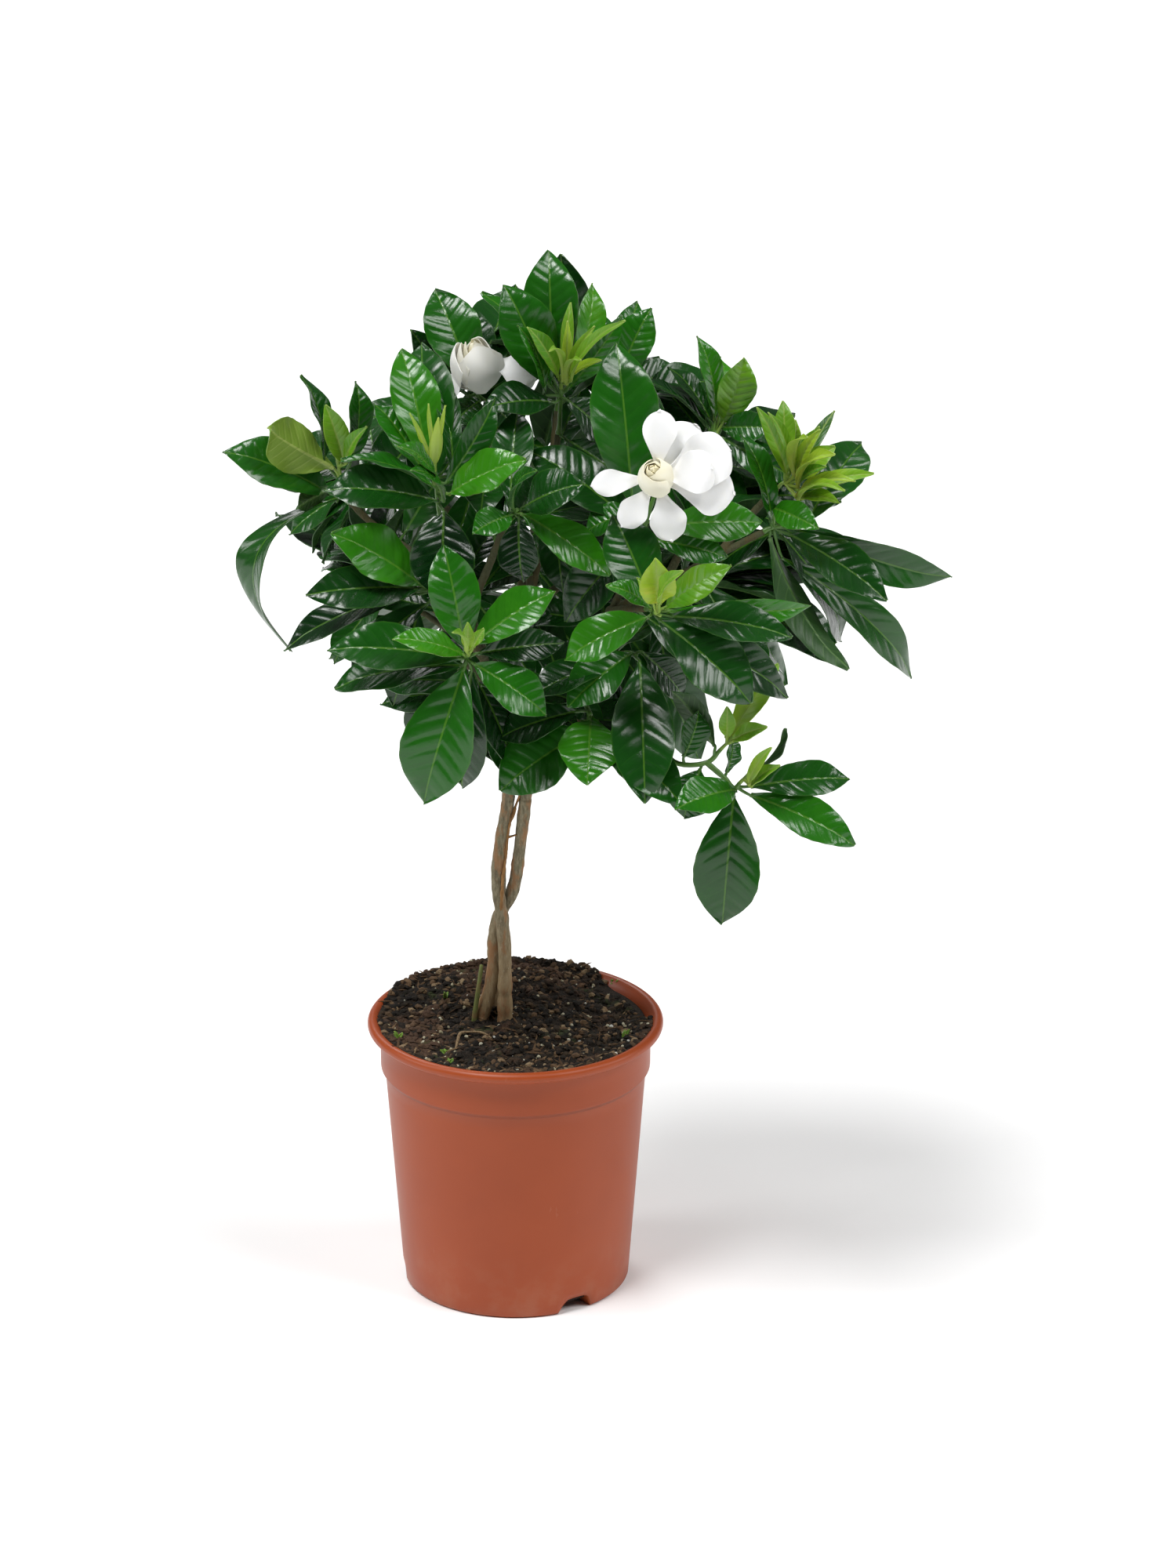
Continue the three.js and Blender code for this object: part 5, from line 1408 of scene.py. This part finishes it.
def worth(hidden, crown, layers, front):
    """How much a leaf adds where the crown is thin, less what it hides and what sticks out."""
    total = 0
    for cell, depth in hidden.items():
        if cell in crown:
            total += max(FILL_LAYERS - layers.get(cell, 0), 0) ** 2 / 4
        elif cell not in layers:
            total -= 6
        if depth < front.get(cell, -math.inf):
            total -= 4
    return total


def fill_crown():
    """Adds inner leaves one by one: first where the crown is bare, then where it is thin."""
    crown = {(i, j) for i in FILL_COLUMNS for j in FILL_ROWS
             if inside_crown(seen((i + 0.5) * FILL_CELL, (j + 0.5) * FILL_CELL, 0))}
    layers, front = {}, {}
    outer = [leaf[0] for rows in leaves.values() for leaf in rows]
    for blade in outer + open_blades + half_blades:
        hidden = cells_behind(blade)
        count_layers(layers, hidden)
        for cell, depth in hidden.items():
            front[cell] = min(depth, front.get(cell, math.inf))
    found = rooting_places()
    places, sprays = np.array([p for p, _ in found]), [spray for _, spray in found]
    low, high = np.array(cad_box[0]) / MM + 3, np.array(cad_box[1]) / MM - 3
    for order in range(FILL_LEAVES):
        bare = sorted(cell for cell in crown if cell not in layers)
        thin = bare if order < FILL_FIRST and bare else sorted(
            cell for cell in crown if layers.get(cell, 0) < FILL_LAYERS)
        best = None
        for _ in range(FILL_DRAWS):
            target = thin[int(grow() * len(thin))]
            depth = FILL_DEPTHS[0] + (FILL_DEPTHS[1] - FILL_DEPTHS[0]) * grow()
            made = inner_leaf(target, depth, places, sprays)
            if made is None:
                continue
            hidden = cells_behind(made[0])
            score = worth(hidden, crown, layers, front)
            if score < FILL_LEAST or (best and score <= best[0]):
                continue
            cloud = Cloud(made[0].sample(leaf_outline), made[2])
            outside = (cloud.points < low).any() or (cloud.points > high).any()
            if outside or clearance(cloud, FILL_SHARE) <= 0:
                continue
            best = (score, made, cloud, hidden)
        if best:
            _, (blade, root, spray), cloud, hidden = best
            placed.append(cloud)
            # An inner leaf's green is drawn from 0.05 to 0.35, dark: painted shade for the inside of the
            # crown.
            inner[spray].append((blade, root, 0.05 + 0.3 * grow()))
            count_layers(layers, hidden)


inner = {node: [] for node in leaves}
fill_crown()
for node, rows in SMALL_NEW.items():
    for row in rows:
        place_leaf(row, tracks[node][0][2][1], tracks[node], node, True)

# Each spray is a woody shoot with its leaves: leathery blades on short stalks, folded along a pale
# midrib and quilted between sunken side veins, glossy above and dull grey-green below.
LEAF_ROWS = 48
LEAF_COLUMNS = np.array([-1, -0.88, -0.66, -0.43, -0.22, -0.07, 0, 0.07, 0.22, 0.43, 0.66, 0.88, 1])
INNER_ROWS = 28
INNER_COLUMNS = LEAF_COLUMNS[[0, 2, 4, 5, 6, 7, 8, 10, 12]]
LEAF_THICKNESS = 0.5
VEIN_PAIRS = 9
STALK_ENDS = (1.0, 0.7)
STALK_SIDES = 8
INNER_STALK_SIDES = 6
vary = Chance(90210)


def shell(grid, thickness):
    """A closed thin shell: a grid of points, its copy behind, and the rim between the two."""
    rows, columns = grid.shape[:2]
    normals = np.cross(np.gradient(grid, axis=1), np.gradient(grid, axis=0))
    normals /= np.linalg.norm(normals, axis=2, keepdims=True)
    back = grid - normals * np.broadcast_to(thickness, (rows, columns))[..., None]
    index = np.arange(rows * columns).reshape(rows, columns)
    a, b, c, d = index[:-1, :-1], index[:-1, 1:], index[1:, 1:], index[1:, :-1]
    front = np.stack([a, b, c, d], -1).reshape(-1, 4)
    behind = np.stack([d, c, b, a], -1).reshape(-1, 4) + rows * columns
    loop = np.concatenate([index[0], index[1:, -1], index[-1, -2::-1], index[-2:0:-1, 0]])
    onward = np.roll(loop, -1)
    rim = np.stack([onward, loop, loop + rows * columns, onward + rows * columns], -1)
    edge = np.zeros((rows, columns))
    edge[[0, -1], :] = 1
    edge[:, [0, -1]] = 1
    points = np.concatenate([grid.reshape(-1, 3), back.reshape(-1, 3)])
    edges = np.concatenate([edge.ravel(), edge.ravel() * 2])
    return points, np.concatenate([front, behind, rim]).tolist(), edges


def marked_shell(grid, thickness, place, front, back):
    """A closed shell with its marks, three numbers each: where on the leaf or petal a point is, and of
    which kind its front and its back are."""
    points, faces, edges = shell(grid, thickness)
    rows = [np.stack([np.broadcast_to(part, grid.shape[:2]) for part in mark], -1).reshape(-1, 3)
            for mark in (place, place, front, back)]
    return points, faces, edges, np.concatenate(rows[:2]), np.concatenate(rows[2:])


def leaf_shell(blade, tone, quilt, count=LEAF_ROWS, columns=LEAF_COLUMNS):
    """A leaf with its quilting and veins. Its kind is its green, its vein and its side."""
    t = np.linspace(0, 1, count)[:, None] * np.ones(len(columns))
    s = np.ones(count)[:, None] * columns
    outline = leaf_outline(np.clip(t, 0, 1))
    half = np.maximum(blade.width / 2 * outline, np.where(t < 0.5, 0.75, 0.12))
    reach = np.abs(s) * outline
    phase = VEIN_PAIRS * (t - 0.13 * reach - 0.05 * reach ** 2) + np.where(s < 0, 0.42, 0) + vary()
    pillow = np.abs(np.sin(math.pi * phase)) ** 0.8 * np.abs(s) ** 0.5 * (1 - np.abs(s) ** 5)
    inner = np.clip(t * 6, 0, 1) * np.clip((1 - t) * 5, 0, 1)
    wave = (vary() - 0.5) * 2
    waves = (1.6 + 0.9 * abs(wave)) * t + wave + 0.25 * s
    wavy = 0.05 * blade.width * s ** 2 * np.sin(2 * math.pi * waves)
    twist = 0.12 * wave * half * s * (t - 0.35)
    dip = 0.035 * blade.length * ramp(0.7, 1, t) ** 2
    fold = blade.fold * half * (np.sqrt(s ** 2 + 0.006) - 0.077) * (1 - 0.25 * t)
    rise = blade.arch * blade.length * 4 * t * (1 - t) + fold + wavy + twist - dip
    groove = 0.25 * np.exp(-(half * s / 0.7) ** 2) * inner
    rise = rise + quilt * 0.022 * blade.width * pillow * inner - groove
    ruffle = 1 + 0.009 * np.sin(2 * math.pi * VEIN_PAIRS * (t + 0.17 * s + wave)) * (t < 0.97)
    grid = blade.spread(t, half * s * ruffle, rise)
    rib = 0.85 * np.exp(-(half * s / 0.8) ** 2) * (1 - 0.75 * t)
    thickness = LEAF_THICKNESS + rib - 0.18 * quilt * pillow * inner
    return marked_shell(grid, thickness, (t, s, half * s), (tone, phase, 0.0), (tone, phase, 1.0))


def stalk_shell(points, radii, sides, tone):
    """A round stalk or shoot in the same form as a leaf's shell."""
    made, faces = tube(points, radii, sides)
    marks = np.tile([0.5, 0.0, 0.0], (len(made), 1))
    return made, faces, np.zeros(len(made)), marks, np.tile([tone, 0.25, 0.5], (len(made), 1))


def spray_object(name, shells, finishes, slot, *nodes):
    """Joins leaves and stalks into one piece, with its rims kept crisp."""
    points, faces = merge([shell_of[:2] for shell_of in shells])
    marks = {"place": np.concatenate([shell_of[3] for shell_of in shells]),
             "kind": np.concatenate([shell_of[4] for shell_of in shells])}
    made = make_object(name, points, faces, finishes, marks)
    rims = np.concatenate([shell_of[2] for shell_of in shells])
    ends = np.zeros(len(made.data.edges) * 2, np.int32)
    made.data.edges.foreach_get("vertices", ends)
    a, b = rims[ends[::2]], rims[ends[1::2]]
    crisp = made.data.attributes.new("sharp_edge", "BOOLEAN", "EDGE")
    crisp.data.foreach_set("value", (a > 0) & (a == b))
    settle(made, slot, *nodes)


def leafy_shells(node, young):
    """The shoots of a spray and each leaf on its stalk."""
    shells = []
    thick, thin = (SHOOT_TIP_RADIUS, 0.9) if young else (SHOOT_RADIUS, SHOOT_TIP_RADIUS)
    for path in tracks[node]:
        way = smooth(path, 20)
        shells.append(stalk_shell(way, knobbly(way, np.linspace(thick, thin, 21), 0.12, 0.3), 10, 0.6))
    for blade, root, tone in leaves[node]:
        bend = (root + blade.base) / 2 - blade.normal * 0.6
        stalk = smooth([root, bend, blade.base, blade.base + blade.along * 3], 9)
        shells.append(stalk_shell(stalk, np.linspace(*STALK_ENDS, 10), STALK_SIDES, tone))
        shells.append(leaf_shell(blade, tone, 0.6 if young else 1.0))
    for blade, root, tone in inner[node]:
        stalk = smooth([root, blade.base + blade.along * 3], 4)
        shells.append(stalk_shell(stalk, np.linspace(*STALK_ENDS, 5), INNER_STALK_SIDES, tone))
        shells.append(leaf_shell(blade, tone, 1.0, INNER_ROWS, INNER_COLUMNS))
    return shells


def leaf_marks(at):
    """A shell's marks: how far along, across by share and in millimetres, then its kind."""
    return (*at.mark("place").parts(), *at.mark("kind").parts())


def vein_masks(t, s, across, phase):
    """How much of the midrib, of a side vein and of the margin shows at a point."""
    rib = 1 - (abs(across) - (1 - t) * 0.35).between(0.1, 0.6)
    ridge = abs(phase.fraction() - 0.5) * 2
    vein = ridge.between(0.84, 1.0) * (1 - abs(s).between(0.7, 1.0))
    margin = abs(s).between(0.93, 1.0)
    return rib, vein, margin


def ridge_height(phase, s):
    """The height of the quilting between the side veins."""
    return 1 - (abs(phase.fraction() - 0.5) * 2).between(0.3, 1.0) * (1 - abs(s).between(0.7, 1.0))


def leaf_paint(at):
    t, s, across, tone, phase, under = leaf_marks(at)
    rib, vein, margin = vein_masks(t, s, across, phase)
    clouds = at.grain(45, 4, 0.6)
    net = at.cells(850, "DISTANCE_TO_EDGE").between(0.0, 0.12)
    shade = tone + (clouds - 0.5) * 0.28
    green = shade.ramp((0.0, (0.003, 0.025, 0.004)), (0.3, (0.006, 0.062, 0.004)),
                       (0.55, (0.012, 0.12, 0.003)), (0.78, (0.036, 0.21, 0.005)),
                       (1.0, (0.17, 0.33, 0.02)))
    light = shade.between(0.75, 1.0)
    vein_green = light.mix((0.05, 0.22, 0.015, 1), (0.36, 0.47, 0.09, 1))
    veined = (vein * (light * 0.4 + 0.06)).mix(green, vein_green)
    ribbed = (rib * 0.42).mix(veined, (0.13, 0.3, 0.03, 1))
    edged = (margin * 0.22).mix(ribbed, (0.07, 0.2, 0.02, 1))
    pale = (rib * 0.5 + vein * 0.3).mix((0.03, 0.09, 0.02, 1), (0.12, 0.24, 0.06, 1))
    olive = (rib * 0.7 + vein * 0.45 + (clouds - 0.4) * 0.3).mix(
        (0.19, 0.31, 0.035, 1), (0.42, 0.52, 0.14, 1))
    dull = under.between(0.4, 0.6)
    return {
        "Base Color": dull.mix(edged, shade.between(0.5, 1.0).mix(pale, olive)),
        "Roughness": dull * 0.2 + clouds * 0.12 + 0.15,
        "Normal": (net * 0.06 + ridge_height(phase, s) * 0.94).bump(0.0004, 0.5),
    }


leaf_gloss = finish("glossy_leaf", leaf_paint, 0.5)
for node in [n for n in leaves if n.startswith("spray_")]:
    spray_object("leafy_" + node[6:], leafy_shells(node, False), [leaf_gloss], "leaf", node)

# New growth opens at the shoot tips: narrow folded leaves, soft and yellow-green, with a satin gloss.
# Each tuft is a short green stem with its leaves, and grows on from the end of a woody shoot.


def young_paint(at):
    t, s, across, tone, phase, under = leaf_marks(at)
    rib, vein, margin = vein_masks(t, s, across, phase)
    clouds = at.grain(70, 4, 0.6)
    shade = tone + (clouds - 0.5) * 0.3 - t * 0.15
    lime = shade.ramp((0.2, (0.02, 0.1, 0.006)), (0.5, (0.06, 0.22, 0.008)),
                      (0.75, (0.17, 0.36, 0.012)), (0.95, (0.36, 0.5, 0.03)), (1.0, (0.55, 0.52, 0.05)))
    veined = (vein * 0.3 + rib * 0.5).mix(lime, (0.33, 0.45, 0.09, 1))
    edged = (margin * 0.3).mix(veined, (0.3, 0.36, 0.06, 1))
    return {
        "Base Color": (under * 0.35).mix(edged, (0.3, 0.38, 0.1, 1)),
        "Roughness": under * 0.12 + clouds * 0.15 + 0.3,
        "Normal": ridge_height(phase, s).bump(0.00018, 0.5),
    }


young_satin = finish("new_leaf", young_paint, 0.45, (0.12, (0.6, 1.0, 0.2), 0.002))
for node in [n for n in leaves if n.startswith("young_")]:
    spray_object("new_" + node[6:], leafy_shells(node, True), [young_satin], "young_leaf", node)

# A loose root, tan and woody, loops out of the peat in front of the trunk. A few weeds have come up on
# the soil: seedlings with three or four soft green leaves, rooted in the peat.
ROOT_LOOP = [(-34, 129, -1), (-33, 132.5, 1.6), (-31.2, 136, 2.4), (-26, 137.2, 1.8), (-19, 136.4, 2.2),
             (-13, 134.6, 0.4)]
WEEDS = [(-40, 158), (-39.5, 126), (-38, 121), (-67, 135), (57, 165), (62, 135)]
WEED_WIDTH = 1.5
WEED_ROWS = 8
SOIL_NEAR = -80.0
SOIL_FAR = 82.0
SEARCH_STEPS = 24
sprout = Chance(611)


def on_soil(across, up, above=0.0):
    """The place on the soil's top that shows there, and a little above it."""
    near, far = SOIL_NEAR, SOIL_FAR
    for _ in range(SEARCH_STEPS):
        middle = (near + far) / 2
        x, y, z = seen(across, up, middle)
        if z > crumbly_top(np.array([x]), np.array([y]))[0]:
            near = middle
        else:
            far = middle
    return seen(across, up, near) + np.array([0, 0, above])


def root_paint(at):
    streaks = at.grain(900, 4, 0.6)
    tan = streaks.ramp((0.3, (0.12, 0.07, 0.035)), (0.7, (0.34, 0.24, 0.13)))
    return {"Base Color": tan, "Roughness": 0.7 + streaks * 0.2, "Normal": streaks.bump(0.0004)}


def weed_shells(place):
    """Three or four tiny leaves that spread from one point."""
    shells = []
    for k in range(3 + int(2 * sprout())):
        turn = 2.3 * k + 3 * sprout()
        reach = 1.6 + 1.8 * sprout()
        tip = place + np.array([math.cos(turn), math.sin(turn), 0.9 + sprout()]) * reach
        blade = Blade(place, tip, WEED_WIDTH, TOWARD, arch=0.08, fold=0.3)
        shells.append(leaf_shell(blade, 0.3 + 0.5 * sprout(), 0.2, WEED_ROWS, INNER_COLUMNS[::2]))
    return shells


root_way = smooth([on_soil(*place) for place in ROOT_LOOP], 30)
root_shape = tube(root_way, knobbly(root_way, np.linspace(0.9, 0.6, 31), 0.2, 0.3), 9)
settle(make_object("loose_root", *root_shape, [finish("root", root_paint, 0.3)]), "soil")
weed_parts = [shell_of for a, b in WEEDS for shell_of in weed_shells(on_soil(a, b))]
spray_object("weeds", weed_parts, [young_satin], "young_leaf")

# The open bloom has thick white petals that curl at their margins round a furled cream heart. It sits
# in a green calyx tube at the end of its shoot.
PETAL_ROWS = 26
PETAL_COLUMNS = np.linspace(-1, 1, 15)
PETAL_THICKNESS = 0.55
PETAL_CUP = 0.1
FURLED_ROWS = 20
FURLED_COLUMNS = 24
FURLED_THICKNESS = 0.5
HEART_PETALS = 6
HEART_LIFT = 2.5
CORE_RINGS = 14


def petal_shell(blade, curl):
    """An open petal, cupped across its width and curled back at its margin."""
    t = (1 - (1 - np.linspace(0, 1, PETAL_ROWS)) ** 1.7)[:, None] * np.ones(len(PETAL_COLUMNS))
    s = np.ones(PETAL_ROWS)[:, None] * PETAL_COLUMNS
    blunt = 0.02 + (0.2 + 0.76 * ramp(0, 0.66, t)) * (1 - np.maximum(t / 0.5 - 1, 0) ** 2.5) ** 0.42
    half = blade.width / 2 * blunt
    phase = vary()
    lip = ramp(0.55, 1, t)
    rise = blade.arch * blade.length * 4 * t * (1 - t) + PETAL_CUP * half * s ** 2
    rise = rise - curl * half * lip * s ** 4
    waves = 1.7 * t + phase + 0.35 * s
    rise = rise + 0.045 * blade.width * (s ** 2 + 0.4 * lip) * np.sin(2 * math.pi * waves)
    notch = 1 + 0.05 * np.sin(9 * s + 6 * phase) * lip
    rounded = t * (1 - 0.03 * np.abs(s) ** 2.5 * lip * notch)
    grid = blade.spread(rounded, half * s * (1 + 0.05 * np.sin(11 * t + 7 * phase)), rise)
    kind = (0.0, phase, 0.0)
    return marked_shell(grid, PETAL_THICKNESS, (t, s, half * s), kind, kind)


def furled_shell(centre, axis, radius, height, start, span, open_share, tone, lobe=0.16, lap=0.5):
    """A petal rolled round the bloom's axis, wider at one edge so that it laps over the next."""
    side = unit(np.cross(axis, [0.3, 0.2, 0.9]))
    other = np.cross(axis, side)
    v = np.linspace(0, 1, FURLED_ROWS)[:, None] * np.ones(FURLED_COLUMNS)
    u = np.ones(FURLED_ROWS)[:, None] * np.linspace(-1, 1, FURLED_COLUMNS)
    level = v * (1 - lobe * u ** 2 - 0.05 * u)
    swell = np.sin(math.pi * (0.1 + (0.9 - open_share) * level)) ** 0.62
    turn = start + (span / 2 * u + 0.5 * v) * np.minimum(1, 0.35 + 1.3 * v)
    reach = radius * swell * (1 + 0.08 * u) + lap * ramp(0.75, 1, np.abs(u)) * ramp(0.2, 0.6, v)
    reach = reach + 0.22 * np.sin(5 * turn + 9 * v)
    up = height * (level - 0.46)
    grid = (centre + axis * up[..., None] + side * (reach * np.cos(turn))[..., None]
            + other * (reach * np.sin(turn))[..., None])
    kind = (tone, start, 0.0)
    return marked_shell(grid, FURLED_THICKNESS, (v, u, reach), kind, kind)


def core_shell(centre, axis, low, high, radius, tone):
    """The closed core inside the furled petals, which narrows to a dome at its top."""
    spine = [centre + axis * step for step in np.linspace(low, high, CORE_RINGS)]
    radii = radius * np.sin(np.linspace(1.0, 3.05, CORE_RINGS)) ** 0.7 + 0.2
    return stalk_shell(spine, radii, 14, tone)


def petal_paint(at):
    t, _, _, tone, _, _ = leaf_marks(at)
    soft = at.grain(90, 3)
    veins = at.grain(520, 3, 0.5, at.stretched((1, 1, 0.4)))
    throat = 1 - t.between(0.0, 0.35)
    margin = t.between(0.8, 1.0) * tone.between(0.1, 0.4)
    cream = tone + throat * 0.12 * tone + (soft - 0.5) * 0.2 + margin * 0.06
    hue = cream.ramp((0.0, (0.92, 0.92, 0.91)), (0.2, (0.92, 0.91, 0.83)), (0.45, (0.92, 0.87, 0.66)),
                     (0.75, (0.92, 0.82, 0.5)), (1.0, (0.9, 0.74, 0.36)))
    return {"Base Color": hue, "Roughness": 0.5 + veins * 0.15,
            "Normal": (veins * 0.5 + soft * 0.5).bump(0.0004, 0.35)}


petal_satin = finish("petal", petal_paint, 0.35, (0.2, (1.0, 0.9, 0.7), 0.0015))
open_shells = [petal_shell(blade, curl=0.5) for blade in open_blades]
heart = OPEN_CENTRE + TOWARD * HEART_LIFT
heart_axis = unit(TOWARD + np.array([-0.42, 0, 0.75]))
for k in range(HEART_PETALS):
    open_shells.append(furled_shell(
        heart, heart_axis, radius=10.6 - 1.5 * k, height=19.6 + 0.5 * k, start=2.2 * k + 0.6, span=3.7,
        open_share=0.1 - 0.008 * k, tone=0.36 + 0.05 * k))
open_shells.append(core_shell(heart, heart_axis, low=-8, high=10.6, radius=4.6, tone=0.5))
spray_object("open_bloom", open_shells, [petal_satin], "petal", "bloom_open")

# The other bloom is still a globe of furled white petals, with one outer petal fallen open to the right.
# It sits in a calyx of its own, at the end of its shoot.
GLOBE_PETALS = 9
FALLEN_WIDTH = 28
fallen = Blade(half_blades[0].base + UPWARD * 3, half_blades[0].tip + UPWARD * 4, FALLEN_WIDTH,
               TOWARD + UPWARD * 0.6, arch=0.08, fold=0.2)
half_shells = [petal_shell(blade, curl=0.3) for blade in (fallen, half_blades[1])]
globe = HALF_CENTRE - UPWARD
globe_axis = unit(UPWARD + TOWARD * 0.5 + np.array([-0.2, 0, 0]))
for k in range(GLOBE_PETALS):
    half_shells.append(furled_shell(
        globe, globe_axis, radius=14.2 - 1.2 * k, height=28.5 + 0.35 * k, start=2.15 * k + 0.4, span=2.5,
        open_share=0.16 - 0.01 * k, tone=0.13 + 0.035 * k, lobe=0.34, lap=1.3))
half_shells.append(core_shell(globe, globe_axis, low=-12, high=14.5, radius=5.4, tone=0.42))
spray_object("opening_bloom", half_shells, [petal_satin], "petal", "bloom_half")

# Each bloom sits in a calyx: a soft green tube that grows on from its shoot, with five narrow lobes that
# clasp the petals. It has the satin look of the new growth.
CALYX_LOBES = 5
LOBE_WIDTH = 2.4
LOBE_RISE = 6
LOBE_SPREAD = 4.5


def calyx_shells(path, end_radius):
    """A calyx tube that widens to end_radius under the bloom, and its lobes."""
    way = smooth(path, 12)
    shells = [stalk_shell(way, np.linspace(SHOOT_TIP_RADIUS, end_radius, 13), 14, 0.55)]
    axis = unit(path[2] - path[0])
    side = unit(np.cross(axis, [0.2, 0.9, 0.3]))
    for k in range(CALYX_LOBES):
        turn = 2 * math.pi * k / CALYX_LOBES
        out = side * math.cos(turn) + np.cross(axis, side) * math.sin(turn)
        foot = path[2] - axis * 1.5 + out * end_radius * 0.7
        tip = foot + axis * LOBE_RISE + out * LOBE_SPREAD
        blade = Blade(foot, tip, LOBE_WIDTH, -out, arch=0.06, fold=0.5)
        shells.append(leaf_shell(blade, 0.6, 0.3, INNER_ROWS, INNER_COLUMNS))
    return shells


open_calyx = calyx_path(tracks["spray_bloom_open"][0], OPEN_CENTRE, OPEN_CORE)
half_calyx = calyx_path(tracks["spray_bloom_half"][0], HALF_CENTRE, HALF_CORE)
spray_object("open_calyx", calyx_shells(open_calyx, 2.4), [young_satin], "young_leaf", "calyx_open")
spray_object("opening_calyx", calyx_shells(half_calyx, 2.6), [young_satin], "young_leaf", "calyx_half")

# A flower bud stands at the left shoot's tip: a yellow-green spindle of furled petals with thin pointed
# sepals, soft and satin, on a short stalk that grows on from the shoot.
BUD_RINGS = 22
BUD_RADIUS = 3.5
SEPALS = [(-60, 492), (-57, 484), (-40, 496), (-50, 497)]
SEPAL_WIDTH = 2.4
bud_axis = unit(bud_tip - bud_stem[2])
bud_length = np.linalg.norm(bud_tip - bud_stem[2])
bud_way = [bud_stem[2] + bud_axis * bud_length * share for share in np.linspace(-0.04, 1.02, BUD_RINGS)]
bud_shares = np.clip(np.linspace(0, 1, BUD_RINGS), 0.02, 0.98)
bud_radii = BUD_RADIUS * np.sin(math.pi * bud_shares ** 0.8) ** 0.9 + 0.25
bud_shells = [stalk_shell(smooth(bud_stem, 8), np.linspace(SHOOT_TIP_RADIUS, 1.5, 9), 10, 0.7),
              stalk_shell(bud_way, bud_radii, 16, 0.98)]
for across, up in SEPALS:
    sepal = Blade(bud_stem[2], seen(across, up, BUD_DEPTH), SEPAL_WIDTH, TOWARD, arch=0.05, fold=0.3)
    bud_shells.append(leaf_shell(sepal, 0.95, 0.2, INNER_ROWS, INNER_COLUMNS))
spray_object("flower_bud_left", bud_shells, [young_satin], "young_leaf", "flower_bud")
